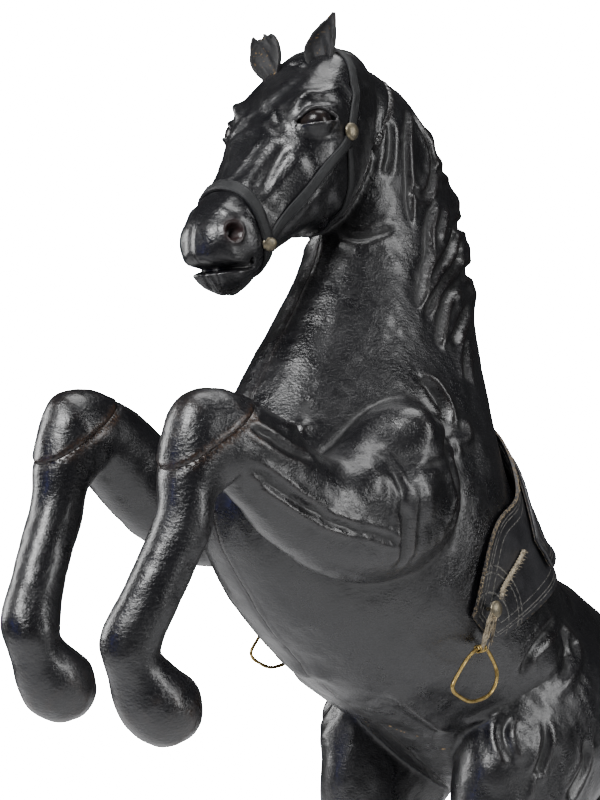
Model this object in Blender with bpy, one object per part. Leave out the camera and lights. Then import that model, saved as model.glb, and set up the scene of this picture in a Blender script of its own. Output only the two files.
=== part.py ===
"""Leather-covered rearing horse figure with bridle, saddle and hanging stirrups.

Carved wooden forms carry a leather cover of an even thickness. The straps, the saddle and the
studs are laid on the forms' own surfaces, so they follow when a form changes. Lengths are in
millimetres until a mesh is made; X is across the figure (its left is +X), it faces -Y, +Z is up.
"""
import math

import bmesh
import bpy
from mathutils import Matrix, Vector
from mathutils.bvhtree import BVHTree

MM = 0.001

# Overall sizes.
FIGURE_HEIGHT = 607.0        # floor to ear tip
TRUNK_WIDTH = 134.0          # across the ribs
DESIGN_HEIGHT = 607.0        # the height and the width at which the ribs below are drawn
DESIGN_WIDTH = 134.0

# Cover, gaps and joinery.
LEATHER = 1.2                # thickness of the cover
GAP = 0.45                   # air between neighbouring pieces
CORE_GAP = 0.7               # between the wood and its cover
CENTRE_SEAM = 0.3            # between the left and right halves of the cover
SOLE_TRIM = 1.6              # bare wood below the cover at the hind soles and the tail tip
BODY_DOWEL = 6.0             # radius of the dowels in neck, head, shoulders, hips and tail
BODY_DOWEL_LENGTH = 36.0
TAIL_DOWEL_LENGTH = 22.0
DOWEL_CLEARANCE = 0.3

# Face.
FOREHEAD_SQUARENESS = 2.8    # 2 is an ellipse
EYE_RADIUS = 7.5
EYE_PROUD = 2.6              # how far an eyeball stands out of the head's surface
EAR_LENGTH = 27.0
EAR_WIDTH = 16.0
EAR_THICKNESS = 2.0
MOUTH_OPEN = 3.4             # height of the mouth slot at the lips
MOUTH_DEPTH = 19.0

# Bridle.
STRAP_THICKNESS = 1.4
STRAP_LIFT = 1.0             # air under a strap, which takes up the roundness of the head
CHEEK_STRAP_WIDTH = 6.0
CROWN_STRAP_WIDTH = 6.4
THROAT_STRAP_WIDTH = 5.0
NOSEBAND_WIDTH = 6.4
ROSETTE_RADIUS = 4.0
NOSEBAND_STUD_RADIUS = 3.0
STUD_DOME = 2.2              # height of a stud's dome
NAIL_RADIUS = 1.0            # shank of a bridle stud
NAIL_LENGTH = 8.0            # below the stud's head

# Saddle and stirrups.
SADDLE_THICKNESS = 1.8
SADDLE_LIFT = 1.6
PANEL_ROWS = 6               # rows of facets from a panel's rear to its front
SEAT_AIR = 1.4               # between the skirt and the seat
SADDLE_STUD_RADIUS = 4.2
SADDLE_NAIL_RADIUS = 1.5
SADDLE_NAIL_LENGTH = 14.0
THONG_WIDTH = 3.6
THONG_THICKNESS = 2.0
TIE_WIDTH = 6.0
TIE_THICKNESS = 2.0
TIE_DROP = 18.0              # stud centre to stirrup wire
TIE_LEAN = 7.0               # how far the tie's lower end hangs in towards the belly
TIE_AIR = 1.1                # between the skirt and the tie
TIE_CLEARANCE = 0.4          # round the nail and round the stirrup's wire
WIRE_RADIUS = 0.85
STIRRUP_HEIGHT = 26.0
STIRRUP_WIDTH = 30.0
STIRRUP_BAR = 7.4            # straight top of the stirrup, through the tie

# Trunk and neck, rump to poll: topline y, z; underline y, z; half width.
BODY_RIBS = (
    (249, 256, 232, 214, 20),
    (247, 281, 208, 200, 44),
    (234, 306, 172, 201, 56),
    (202, 326, 138, 214, 59),
    (166, 344, 104, 233, 59),
    (138, 372, 62, 264, 63),
    (115, 404, 14, 294, 65),
    (112, 436, -30, 334, 61),
    (117, 462, -57, 381, 49),
    (119, 482, -31, 430, 38),
    (116, 505, -6, 466, 31),
    (109, 528, 9, 490, 27),
    (93, 554, 16, 508, 24),
    (67, 576, 20, 528, 23),
    (38, 586, 22, 545, 19),
)
NECK_RIB = 8                 # the rib at which the neck joins the trunk

# Head, back of the skull to lips: face line y, z; jaw line y, z; half width.
HEAD_RIBS = (
    (38, 584, 34, 530, 17),
    (22, 591, 20, 510, 24),
    (4, 586, 4, 502, 28),
    (-14, 571, -9, 500, 30),
    (-27, 553, -17, 496, 26),
    (-39, 535, -25, 490, 19),
    (-50, 520, -32, 484, 16.5),
    (-61, 509, -38, 477, 16),
    (-68, 499, -46, 472, 14.5),
    (-69, 488, -55, 473, 8),
)

# Left limbs and the tail, root to tip: x, y, z, half width, half depth.
FOREARM_STATIONS = (
    (36, 48, 396, 12, 22),
    (44, 28, 392, 24, 36),
    (46, 4, 384, 25, 37),
    (46, -24, 378, 21, 29),
    (44, -50, 385, 18, 21.5),
    (42, -79, 407, 16, 19),
)
CANNON_STATIONS = (
    (38.8, -111, 378, 11.2, 11.6),
    (35, -122, 354, 10.5, 11.5),
    (30.5, -130, 335, 11.5, 12.5),
    (30.5, -127, 324, 11, 11.5),
    (31.5, -119, 312, 14.5, 15),
    (32, -110, 305, 14, 14.5),
    (32, -102, 300, 8, 8),
)
# Left knee, where the ribs fan out: x; front y, z; back y, z; half width.
KNEE_RIBS = (
    (40.5, -92, 431, -94, 390, 15.5),
    (39.2, -110, 428, -95.5, 388.5, 14),
    (38.8, -118, 412, -96.5, 387, 12.5),
    (38.6, -120, 398, -98, 383.5, 11.5),
)
KNEE_STATION = len(FOREARM_STATIONS) + len(KNEE_RIBS) - 1
HINDLEG_STATIONS = (
    (33, 190, 288, 20, 34),
    (40, 164, 268, 29, 52),
    (42, 132, 250, 28, 54),
    (42, 117, 222, 26, 48),
    (43, 113, 188, 21, 35),
    (44, 125, 156, 15, 23),
    (44, 141, 122, 12.5, 17.5),
    (43, 134, 94, 10, 12.5),
    (42, 120, 62, 9.5, 11),
    (41, 109, 38, 12, 13),
    (41, 98, 24, 11.5, 13),
    (41, 91, 12, 15, 19),
    (41, 89, 0, 17, 23),
)
STIFLE_STATION = 4
TAIL_STATIONS = (
    (0, 228, 240, 12, 12),
    (0, 247, 242, 13, 13),
    (0, 261, 231, 14, 14),
    (0, 267, 206, 16, 15),
    (0, 270, 170, 18, 16),
    (0, 276, 125, 18, 16),
    (0, 282, 80, 16, 15),
    (0, 286, 40, 14, 14),
    (0, 289, 0, 11, 11),
)

# Places on the forms: rib and angle in degrees (0 faces left, 90 the topline, -90 the underline).
EYE_PLACE = (3.4, 26)
EAR_PLACE = (2.5, 70)
FORELOCK_RIBS = (2.8, 3.5)
ROSETTE_PLACE = (2.2, 2)
NOSEBAND_RIB = 6.1
NOSEBAND_STUD_ANGLE = -23
CROWN_RIB = 1.0              # where the crown strap passes over the poll
THROAT_REACH = (7, 502)      # y, z that the throat strap passes under the jaw
THROAT_BOW = 15.0            # how far back it bows round the jowl
THROAT_FAR = 48.0            # past the jaw, short of the chest
HEAD_FAR = 90.0              # past the head in every direction
MANE_RIBS = (8.8, 12.7)
MANE_ANGLES = (34, 76)
MANE_SWELL = 2.0             # thickness of the mane along its middle
SADDLE_STUD_PLACE = (5.9, -15)
THONG_TOP_PLACE = (5.5, 16)
SHOULDER_DOWEL_STATION = 2.6
HIP_DOWEL_STATION = 1.6
TAIL_DOWEL_STATION = 0.7
DOWEL_COVER = 4.0            # wood left over a shoulder or hip dowel's outer end

# Saddle outlines: ribs of the front and rear edges, read every so many degrees down from the
# topline.
SKIRT_STEP = 28
SKIRT_FRONT = (6.7, 6.4, 6.1, 6.4, 5.95)
SKIRT_REAR = (4.1, 4.3, 4.6, 5.1, 5.55)
SEAT_STEP = 22
SEAT_FRONT = (6.35, 6.2, 5.95, 5.55)
SEAT_REAR = (4.3, 4.4, 4.7, 5.1)


def catmull(values, s):
    """Value at position s of a smooth curve through values at 0, 1, 2..."""
    i = min(max(int(s), 0), len(values) - 2)
    t = s - i
    b, c = values[i], values[i + 1]
    a = values[i - 1] if i > 0 else 2 * b - c
    d = values[i + 2] if i + 2 < len(values) else 2 * c - b
    cubic = (3 * b - a - 3 * c + d) * t ** 3 + (2 * a - 5 * b + 4 * c - d) * t ** 2
    return 0.5 * (cubic + (c - a) * t + 2 * b)


class Form:
    """A carved shape: oval ribs between a front edge and a back edge, smooth from rib to rib."""

    def __init__(self, ribs, side=1, squareness=2.0, joint=None):
        tall = FIGURE_HEIGHT / DESIGN_HEIGHT
        wide = TRUNK_WIDTH / DESIGN_WIDTH
        self.columns = list(zip(*[
            (side * x * wide, ty * tall, tz * tall, uy * tall, uz * tall, width * wide)
            for x, ty, tz, uy, uz, width in ribs]))
        self.last = len(ribs) - 1
        self.plane_ribs = (0, joint, self.last)
        self.power = 2.0 / squareness

    def rib(self, s):
        """Centre, half depth vector and half width of the rib at s."""
        x, ty, tz, uy, uz, width = (catmull(column, s) for column in self.columns)
        centre = Vector((x, (ty + uy) / 2, (tz + uz) / 2))
        return centre, Vector((0, (ty - uy) / 2, (tz - uz) / 2)), width

    def forward(self, s):
        """Unit normal of the rib's plane, towards the next rib."""
        depth = self.rib(s)[1].normalized()
        normal = depth.cross(Vector((1, 0, 0)))
        step = self.rib(s + 0.01)[0] - self.rib(s - 0.01)[0]
        return normal if normal.dot(step) > 0 else -normal

    def point(self, s, angle, lift=0.0):
        """A point on the form, lifted along its normal, within the rib's plane at ends and joint."""
        place = self.on_surface(s, angle)
        if lift:
            place = place + self.normal(s, angle, s in self.plane_ribs) * lift
        return place

    def on_surface(self, s, angle):
        centre, depth, width = self.rib(s)
        across, along = self.oval(angle)
        return centre + Vector((width * across, 0, 0)) + depth * along

    def oval(self, angle):
        """Unit oval: round below, and as square as the form says above."""
        across, along = math.cos(math.radians(angle)), math.sin(math.radians(angle))
        if along <= 0:
            return across, along
        return math.copysign(abs(across) ** self.power, across), along ** self.power

    def normal(self, s, angle, flat=False):
        along = self.on_surface(s + 0.01, angle) - self.on_surface(s - 0.01, angle)
        around = self.on_surface(s, angle + 0.5) - self.on_surface(s, angle - 0.5)
        normal = along.cross(around)
        if normal.dot(self.on_surface(s, angle) - self.rib(s)[0]) < 0:
            normal.negate()
        if flat:
            forward = self.forward(s)
            normal -= forward * normal.dot(forward)
        return normal.normalized()


def limb_ribs(stations):
    """Ribs square to a limb's run, from its stations."""
    ribs = []
    for i, (x, y, z, width, depth) in enumerate(stations):
        before, after = stations[max(i - 1, 0)], stations[min(i + 1, len(stations) - 1)]
        run = Vector((after[1] - before[1], after[2] - before[2])).normalized()
        ribs.append((x, y + run.y * depth, z - run.x * depth,
                     y - run.y * depth, z + run.x * depth, width))
    return ribs


def level_sole(ribs):
    """The last rib laid flat on the floor."""
    x, ty, tz, uy, uz, width = ribs[-1]
    return ribs[:-1] + [(x, ty, 0, uy, 0, width)]


def body_ribs():
    return [(0, *rib) for rib in BODY_RIBS]


def foreleg_ribs():
    return limb_ribs(FOREARM_STATIONS) + list(KNEE_RIBS) + limb_ribs(CANNON_STATIONS)


def head_ribs():
    return [(0, *rib) for rib in HEAD_RIBS]


def spread(start, end, count):
    """Count + 1 even values from start to end."""
    return [start + (end - start) * i / count for i in range(count + 1)]


def loft_rows(form, ribs, angles, lift, start_shift=0.0, end_shift=0.0):
    """Rows of points over a form, the first and last shifted square to their ribs."""
    rows = []
    for i, s in enumerate(ribs):
        shift = {0: start_shift, len(ribs) - 1: end_shift}.get(i, 0.0)
        offset = form.forward(s) * shift
        rows.append([form.point(s, angle, lift) + offset for angle in angles])
    return rows


def add_rows(bm, rows, wrap):
    """A grid of triangles through rows of points, all split the same way; returns its vertices."""
    grid = [[bm.verts.new(point) for point in row] for row in rows]
    columns = len(grid[0])
    for upper, lower in zip(grid, grid[1:]):
        for j in range(columns if wrap else columns - 1):
            k = (j + 1) % columns
            bm.faces.new((upper[j], upper[k], lower[k]))
            bm.faces.new((upper[j], lower[k], lower[j]))
    return grid


def join_edges(bm, first, second, wrap):
    """A strip of quads between two lines of vertices."""
    count = len(first)
    for j in range(count if wrap else count - 1):
        k = (j + 1) % count
        bm.faces.new((first[j], first[k], second[k], second[j]))


def solid_mesh(rows):
    """A closed solid: rings of points with a flat cap at each end."""
    bm = bmesh.new()
    grid = add_rows(bm, rows, wrap=True)
    bm.faces.new(grid[0])
    bm.faces.new(grid[-1])
    bmesh.ops.recalc_face_normals(bm, faces=bm.faces)
    return bm


def shell_mesh(outer, inner, wrap=False, closed_end=False):
    """A closed wall between two sets of rows: a patch, a sleeve, or a sock closed at its end."""
    bm = bmesh.new()
    outside = add_rows(bm, outer, wrap)
    inside = add_rows(bm, inner, wrap)
    join_edges(bm, outside[0], inside[0], wrap)
    if closed_end:
        bm.faces.new(outside[-1])
        bm.faces.new(inside[-1])
    else:
        join_edges(bm, outside[-1], inside[-1], wrap)
    if not wrap:
        for column in (0, -1):
            join_edges(bm, [row[column] for row in outside], [row[column] for row in inside], False)
    bmesh.ops.recalc_face_normals(bm, faces=bm.faces)
    return bm


def lathe_mesh(profile, base, axis, segments):
    """A turned solid about an axis: profile of (radius, height), first and last on the axis."""
    axis = axis.normalized()
    side = axis.orthogonal().normalized()
    other = axis.cross(side)
    bm = bmesh.new()
    first = bm.verts.new(base + axis * profile[0][1])
    last = bm.verts.new(base + axis * profile[-1][1])
    rings = []
    for radius, height in profile[1:-1]:
        turns = [2 * math.pi * i / segments for i in range(segments)]
        rings.append([base + axis * height + (side * math.cos(t) + other * math.sin(t)) * radius
                      for t in turns])
    grid = add_rows(bm, rings, wrap=True)
    for j in range(segments):
        k = (j + 1) % segments
        bm.faces.new((first, grid[0][j], grid[0][k]))
        bm.faces.new((last, grid[-1][k], grid[-1][j]))
    bmesh.ops.recalc_face_normals(bm, faces=bm.faces)
    return bm


def rod_mesh(start, end, radius, segments=10):
    """A plain round rod."""
    length = (end - start).length
    profile = [(0, 0), (radius, 0), (radius, length), (0, length)]
    return lathe_mesh(profile, start, end - start, segments)


def merge_meshes(meshes):
    """Several closed meshes as one, still separate solids."""
    whole = bmesh.new()
    for bm in meshes:
        piece = bpy.data.meshes.new("piece")
        bm.to_mesh(piece)
        bm.free()
        whole.from_mesh(piece)
        bpy.data.meshes.remove(piece)
    return whole


def make_material(name, colour, roughness, metallic=0.0):
    material = bpy.data.materials.new(name)
    material.use_nodes = True
    shader = material.node_tree.nodes["Principled BSDF"]
    shader.inputs["Base Color"].default_value = (*colour, 1.0)
    shader.inputs["Roughness"].default_value = roughness
    shader.inputs["Metallic"].default_value = metallic
    return material


def make_object(name, bm, material, origin=Vector((0, 0, 0)), parent=None):
    """An object from a mesh in millimetres, its own origin at a place on the figure."""
    bmesh.ops.transform(bm, matrix=Matrix.Scale(MM, 4) @ Matrix.Translation(-origin), verts=bm.verts)
    mesh = bpy.data.meshes.new(name)
    bm.to_mesh(mesh)
    bm.free()
    mesh.shade_smooth()
    mesh.set_sharp_from_angle(angle=math.radians(40))
    mesh.materials.append(material)
    obj = bpy.data.objects.new(name, mesh)
    bpy.context.scene.collection.objects.link(obj)
    if parent:
        obj.parent = parent
    else:
        obj.location = origin * MM
        obj.parent = FIGURE
    return obj


def make_cutter(name, bm):
    cutter = make_object(name, bm, CUTTER_MATERIAL)
    cutter.hide_render = True
    cutter.display_type = 'WIRE'
    return cutter


def cut(obj, *cutters):
    for cutter in cutters:
        modifier = obj.modifiers.new(cutter.name, 'BOOLEAN')
        modifier.operation = 'DIFFERENCE'
        modifier.solver = 'EXACT'
        modifier.object = cutter


def side_name(side):
    return "left" if side > 0 else "right"


def clear_scene():
    for obj in list(bpy.data.objects):
        bpy.data.objects.remove(obj, do_unlink=True)


clear_scene()
FIGURE = bpy.data.objects.new("figure", None)
bpy.context.scene.collection.objects.link(FIGURE)
CUTTER_MATERIAL = make_material("cutter", (0.8, 0.2, 0.2), 0.5)
BLACK_LEATHER = make_material("black_leather", (0.012, 0.012, 0.014), 0.38)
STRAP_LEATHER = make_material("strap_leather", (0.022, 0.022, 0.023), 0.62)
SADDLE_LEATHER = make_material("saddle_leather", (0.018, 0.018, 0.019), 0.55)
CARVED_WOOD = make_material("carved_wood", (0.42, 0.29, 0.17), 0.7)
EYE_GLASS = make_material("eye_glass", (0.01, 0.008, 0.008), 0.05)
BRASS = make_material("brass", (0.62, 0.47, 0.24), 0.35, 1.0)
THONG_LEATHER = make_material("thong_leather", (0.36, 0.30, 0.22), 0.8)

BODY = Form(body_ribs(), joint=NECK_RIB)
HEAD = Form(head_ribs(), squareness=FOREHEAD_SQUARENESS)
TAIL = Form(level_sole(limb_ribs(TAIL_STATIONS)))
FORELEGS = {side: Form(foreleg_ribs(), side, joint=KNEE_STATION) for side in (1, -1)}
HINDLEGS = {side: Form(level_sole(limb_ribs(HINDLEG_STATIONS)), side, joint=STIFLE_STATION)
            for side in (1, -1)}

TRUNK_ROWS = spread(0, NECK_RIB, 12)
NECK_ROWS = spread(NECK_RIB, BODY.last, 9)
HEAD_ROWS = spread(0, HEAD.last, 12)
BODY_SIDES = 20              # facets round the trunk and neck
HEAD_SIDES = 17              # odd, so no facet corner lies on the middle plane under the jaw
LIMB_SIDES = 12
HALF_JOINT = GAP / 2
CORE_LIFT = -(LEATHER + CORE_GAP)


def full_circle(sides):
    return [360 * i / sides + 90 for i in range(sides)]


def half_rows(form, ribs, side, lift, shifts):
    """Rows over one side of a form, stopped short of the middle by the centre seam."""
    middle = 0 if side > 0 else 180
    angles = spread(middle - 90, middle + 90, BODY_SIDES // 2)
    rows = loft_rows(form, ribs, angles, lift, *shifts)
    for row in rows:
        for point in row:
            point.x = side * max(side * point.x, CENTRE_SEAM / 2)
    return rows


def halved_cover(name, form, ribs, shifts):
    """The left and right halves of a cover, sewn along the middle."""
    halves = {}
    for side in (1, -1):
        outer = half_rows(form, ribs, side, 0.0, shifts)
        inner = half_rows(form, ribs, side, -LEATHER, shifts)
        halves[side] = make_object(f"{name}_leather_{side_name(side)}", shell_mesh(outer, inner),
                                   BLACK_LEATHER)
    return halves


def core(name, form, ribs, sides, shifts=(0.0, 0.0)):
    rows = loft_rows(form, ribs, full_circle(sides), CORE_LIFT, *shifts)
    return make_object(name, solid_mesh(rows), CARVED_WOOD)


def sleeve(name, form, ribs, sides, shifts=(0.0, 0.0), closed_end=False):
    angles = full_circle(sides)
    outer = loft_rows(form, ribs, angles, 0.0, *shifts)
    inner_shifts = (shifts[0], shifts[1] - (LEATHER if closed_end else 0.0))
    inner = loft_rows(form, ribs, angles, -LEATHER, *inner_shifts)
    return make_object(name, shell_mesh(outer, inner, wrap=True, closed_end=closed_end), BLACK_LEATHER)


def envelope(name, form, ribs, sides):
    """A form's whole outside plus the gap, to cut what stands on it."""
    rows = loft_rows(form, ribs, full_circle(sides), GAP, -GAP, GAP)
    return make_cutter(name, solid_mesh(rows))


def dowel(name, middle, direction, length):
    """A dowel as a node; returns the cutter of its hole."""
    half = direction.normalized() * length / 2
    extra = direction.normalized() * DOWEL_CLEARANCE
    make_object(name, rod_mesh(middle - half, middle + half, BODY_DOWEL), CARVED_WOOD)
    hole = rod_mesh(middle - half - extra, middle + half + extra, BODY_DOWEL + DOWEL_CLEARANCE)
    return make_cutter(f"{name}_hole", hole)


def build_body():
    """Trunk and neck: carved cores, and a cover in left and right halves."""
    body = {
        "trunk_core": core("trunk_core", BODY, TRUNK_ROWS, BODY_SIDES, (0.0, -HALF_JOINT)),
        "neck_core": core("neck_core", BODY, NECK_ROWS, BODY_SIDES, (HALF_JOINT, 0.0)),
        "trunk_leather": halved_cover("trunk", BODY, TRUNK_ROWS, (0.0, -HALF_JOINT)),
        "neck_leather": halved_cover("neck", BODY, NECK_ROWS, (HALF_JOINT, 0.0)),
        "envelope": envelope("body_envelope", BODY, TRUNK_ROWS + NECK_ROWS[1:], BODY_SIDES),
    }
    hole = dowel("neck_dowel", BODY.rib(NECK_RIB)[0], BODY.forward(NECK_RIB), BODY_DOWEL_LENGTH)
    cut(body["trunk_core"], hole)
    cut(body["neck_core"], hole)
    return body


def build_head(body):
    """Head: core and cover, with the mouth slot, the eyes' sockets and the neck's seat."""
    wood = core("head_core", HEAD, HEAD_ROWS, HEAD_SIDES, (0.0, -LEATHER - GAP))
    leather = sleeve("head_leather", HEAD, HEAD_ROWS, HEAD_SIDES, closed_end=True)
    hole = dowel("head_dowel", BODY.rib(BODY.last)[0], BODY.forward(BODY.last), BODY_DOWEL_LENGTH)
    sockets = build_eyes()
    mouth = mouth_cutter()
    cut(wood, body["envelope"], hole, sockets, mouth)
    cut(leather, body["envelope"], sockets, mouth)
    cut(body["neck_core"], hole)
    return {"core": wood, "leather": leather}


def build_eyes():
    """Glass eyeballs sunk in the head; returns the cutter of their sockets."""
    sockets = []
    for side in (1, -1):
        rib, angle = EYE_PLACE
        if side < 0:
            angle = 180 - angle
        centre = HEAD.point(rib, angle, EYE_PROUD - EYE_RADIUS)
        for radius, meshes in ((EYE_RADIUS, None), (EYE_RADIUS + GAP, sockets)):
            turns = spread(0, math.pi, 6)
            profile = [(radius * math.sin(t), -radius * math.cos(t)) for t in turns]
            ball = lathe_mesh(profile, centre, HEAD.normal(rib, angle), 10)
            if meshes is None:
                make_object(f"eye_{side_name(side)}", ball, EYE_GLASS)
            else:
                meshes.append(ball)
    return make_cutter("eye_sockets", merge_meshes(sockets))


def mouth_cutter():
    """A wedge in from the lips, level, its thin end at the corners of the mouth."""
    lips = HEAD.rib(HEAD.last)[0]
    wide = HEAD.rib(HEAD.last - 2)[2] * 1.5
    corner = lips + Vector((0, MOUTH_DEPTH, MOUTH_OPEN * 0.6))
    front = lips + Vector((0, -MOUTH_DEPTH, 0))
    bm = bmesh.new()
    outline = [front + Vector((0, 0, MOUTH_OPEN)), front - Vector((0, 0, MOUTH_OPEN)),
               corner - Vector((0, 0, 0.5)), corner + Vector((0, 0, 0.5))]
    rings = [[point + Vector((x, 0, 0)) for point in outline] for x in (-wide, wide)]
    grid = add_rows(bm, rings, wrap=True)
    bm.faces.new(grid[0])
    bm.faces.new(grid[-1])
    bmesh.ops.recalc_face_normals(bm, faces=bm.faces)
    return make_cutter("mouth_slot", bm)


def build_limb(name, form, parts, split, sides, rows, sole):
    """One leg: an upper and a lower core, each in its own sleeve, parted at the split station."""
    upper_rows = spread(0, split, rows[0])
    lower_rows = spread(split, form.last, rows[1])
    upper, lower = parts
    pieces = {
        "upper_core": core(f"{upper}_core_{name}", form, upper_rows, sides, (0.0, -HALF_JOINT)),
        "upper_leather": sleeve(f"{upper}_leather_{name}", form, upper_rows, sides, (0.0, -HALF_JOINT)),
    }
    if sole:
        ends = (HALF_JOINT, 0.0), (HALF_JOINT, -SOLE_TRIM)
    else:
        ends = (HALF_JOINT, -LEATHER - GAP), (HALF_JOINT, 0.0)
    pieces["lower_core"] = core(f"{lower}_core_{name}", form, lower_rows, sides, ends[0])
    pieces["lower_leather"] = sleeve(f"{lower}_leather_{name}", form, lower_rows, sides, ends[1],
                                     closed_end=not sole)
    return pieces


def build_legs(body):
    """Four legs pegged to the trunk."""
    kinds = (
        ("shoulder_dowel", FORELEGS, ("upper_foreleg", "lower_foreleg"), KNEE_STATION, (10, 8), False,
         SHOULDER_DOWEL_STATION),
        ("hip_dowel", HINDLEGS, ("thigh", "lower_hindleg"), STIFLE_STATION, (5, 9), True,
         HIP_DOWEL_STATION),
    )
    for dowel_name, forms, parts, split, rows, sole, root in kinds:
        for side in (1, -1):
            name = side_name(side)
            form = forms[side]
            leg = build_limb(name, form, parts, split, LIMB_SIDES, rows, sole)
            hole = dowel(f"{dowel_name}_{name}", root_middle(form, root, side), Vector((1, 0, 0)),
                         BODY_DOWEL_LENGTH)
            cut(body["trunk_core"], hole)
            cut(body["trunk_leather"][side], hole)
            cut(leg["upper_core"], body["envelope"], hole)
            cut(leg["upper_leather"], body["envelope"])


def root_middle(form, station, side):
    """Middle of a shoulder or hip dowel, its outer end just under the leg's surface."""
    centre, _, width = form.rib(station)
    outer_end = abs(centre.x) + width - LEATHER - GAP - DOWEL_COVER
    return Vector((side * (outer_end - BODY_DOWEL_LENGTH / 2), centre.y, centre.z))


def build_tail(body):
    """Tail: core and sleeve down to the floor, pegged into the rump."""
    rows = spread(0, TAIL.last, 9)
    wood = core("tail_core", TAIL, rows, 10)
    leather = sleeve("tail_leather", TAIL, rows, 10, (0.0, -SOLE_TRIM))
    hole = dowel("tail_dowel", TAIL.rib(TAIL_DOWEL_STATION)[0], TAIL.forward(TAIL_DOWEL_STATION),
                 TAIL_DOWEL_LENGTH)
    cut(wood, body["envelope"], hole)
    cut(leather, body["envelope"])
    cut(body["trunk_core"], hole)


def leaf_rows(base, up, across, facing, offset):
    """Rows of one face of a pointed, cupped leaf."""
    rows = []
    for rise in (-0.25, 0.0, 0.25, 0.5, 0.75, 0.92, 1.0):
        swell = math.sin(math.pi * (0.3 + 0.7 * max(rise, 0.0))) ** 0.8
        half = max(EAR_WIDTH / 2 * swell, 0.5)
        row = []
        for v in spread(-1, 1, 4):
            cup = (1 - v * v) * half * 0.35
            row.append(base + up * rise * EAR_LENGTH + across * v * half + facing * (offset - cup))
        rows.append(row)
    return rows


def build_ears(head_envelope):
    """Two leaf-shaped ears standing on the poll."""
    for side in (1, -1):
        rib, angle = EAR_PLACE
        base = HEAD.point(rib, angle if side > 0 else 180 - angle)
        up = Vector((side * 0.22, 0.0, 1.0)).normalized()
        facing = Vector((side * 0.25, -1.0, 0.0)).normalized()
        across = up.cross(facing).normalized()
        half = EAR_THICKNESS / 2
        mesh = shell_mesh(leaf_rows(base, up, across, facing, half),
                          leaf_rows(base, up, across, facing, -half))
        cut(make_object(f"ear_{side_name(side)}", mesh, BLACK_LEATHER), head_envelope)


def build_hair():
    """The mane down the left of the crest, and a forelock, as moulded leather."""
    def mane_rows(lift_of):
        return [[BODY.point(s, angle, lift_of(u, v)) for v, angle in zip(spread(0, 1, 5),
                                                                       spread(*MANE_ANGLES, 5))]
                for u, s in zip(spread(0, 1, 14), spread(*MANE_RIBS, 14))]

    def outer(u, v):
        return GAP + 1.0 + MANE_SWELL * math.sin(math.pi * u) ** 0.5 * math.sin(math.pi * v)

    mesh = shell_mesh(mane_rows(outer), mane_rows(lambda u, v: GAP))
    make_object("mane", mesh, BLACK_LEATHER)
    angles = spread(83, 97, 2)
    rows = spread(*FORELOCK_RIBS, 3)
    lock = shell_mesh([[HEAD.point(s, a, STRAP_LIFT + STRAP_THICKNESS) for a in angles] for s in rows],
                      [[HEAD.point(s, a, STRAP_LIFT) for a in angles] for s in rows])
    make_object("forelock", lock, BLACK_LEATHER)


def outside_tree(form, ribs, sides):
    bm = solid_mesh(loft_rows(form, ribs, full_circle(sides), 0.0))
    tree = BVHTree.FromBMesh(bm)
    bm.free()
    return tree


def strap_radii(trees, centres, axis, directions, width, closed, far):
    """Distance from its centre, in each direction, of a taut strap laid round the trees."""
    radii = []
    for centre, direction in zip(centres, directions):
        reach = 0.0
        for edge in (-width / 2, 0.0, width / 2):
            start = centre + axis * edge + direction * far
            for tree in trees:
                hit = tree.ray_cast(start, -direction, far)
                if hit[0] is not None:
                    reach = max(reach, far - hit[3])
        radii.append(reach)
    if not closed:
        pull_taut(radii, directions)
    return radii


def pull_taut(radii, directions):
    """Lifts each dip onto the straight line between its neighbours until the line is convex."""
    for _ in range(200):
        for i in range(1, len(radii) - 1):
            before = directions[i - 1] * radii[i - 1]
            after = directions[i + 1] * radii[i + 1]
            span = after - before
            normal = directions[i] - span * directions[i].dot(span) / span.length_squared
            radii[i] = max(radii[i], before.dot(normal) / directions[i].dot(normal))


def strap_round(name, trees, centre, axis, first, second, turns, width, closed=False, bow=0.0,
                far=HEAD_FAR):
    """A strap laid round solids, bowed along its axis between the turns 0, 90 and 180."""
    directions = [first * math.cos(math.radians(t)) + second * math.sin(math.radians(t))
                  for t in turns]
    centres = [centre + axis * bow * abs(math.sin(math.radians(2 * t))) for t in turns]
    radii = strap_radii(trees, centres, axis, directions, width, closed,
                        far * FIGURE_HEIGHT / DESIGN_HEIGHT)

    def rows(lift):
        return [[place + axis * edge + direction * (radius + lift)
                 for place, direction, radius in zip(centres, directions, radii)]
                for edge in (-width / 2, width / 2)]

    mesh = shell_mesh(rows(STRAP_LIFT + STRAP_THICKNESS), rows(STRAP_LIFT), wrap=closed)
    return make_object(name, mesh, STRAP_LEATHER), radii


def ribbon_mesh(points, normals, width, thickness, lift):
    """A flat strap along points of a surface."""
    def rows(height):
        left, right = [], []
        for i, (point, normal) in enumerate(zip(points, normals)):
            run = points[min(i + 1, len(points) - 1)] - points[max(i - 1, 0)]
            side = normal.cross(run).normalized() * width / 2
            left.append(point + normal * height - side)
            right.append(point + normal * height + side)
        return [left, right]

    return shell_mesh(rows(lift + thickness), rows(lift))


def stud_mesh(base, axis, radius, nail_radius, nail_length):
    """A domed stud on its nail."""
    profile = [(0, -nail_length), (nail_radius, -nail_length), (nail_radius, 0), (radius, 0),
               (radius, STUD_DOME * 0.3), (radius * 0.72, STUD_DOME * 0.8), (0, STUD_DOME)]
    return lathe_mesh(profile, base, axis, 10)


def nail_hole(base, axis, nail_radius, nail_length):
    end = base - axis * (nail_length + DOWEL_CLEARANCE)
    return rod_mesh(base + axis * 0.1, end, nail_radius + DOWEL_CLEARANCE)


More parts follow.
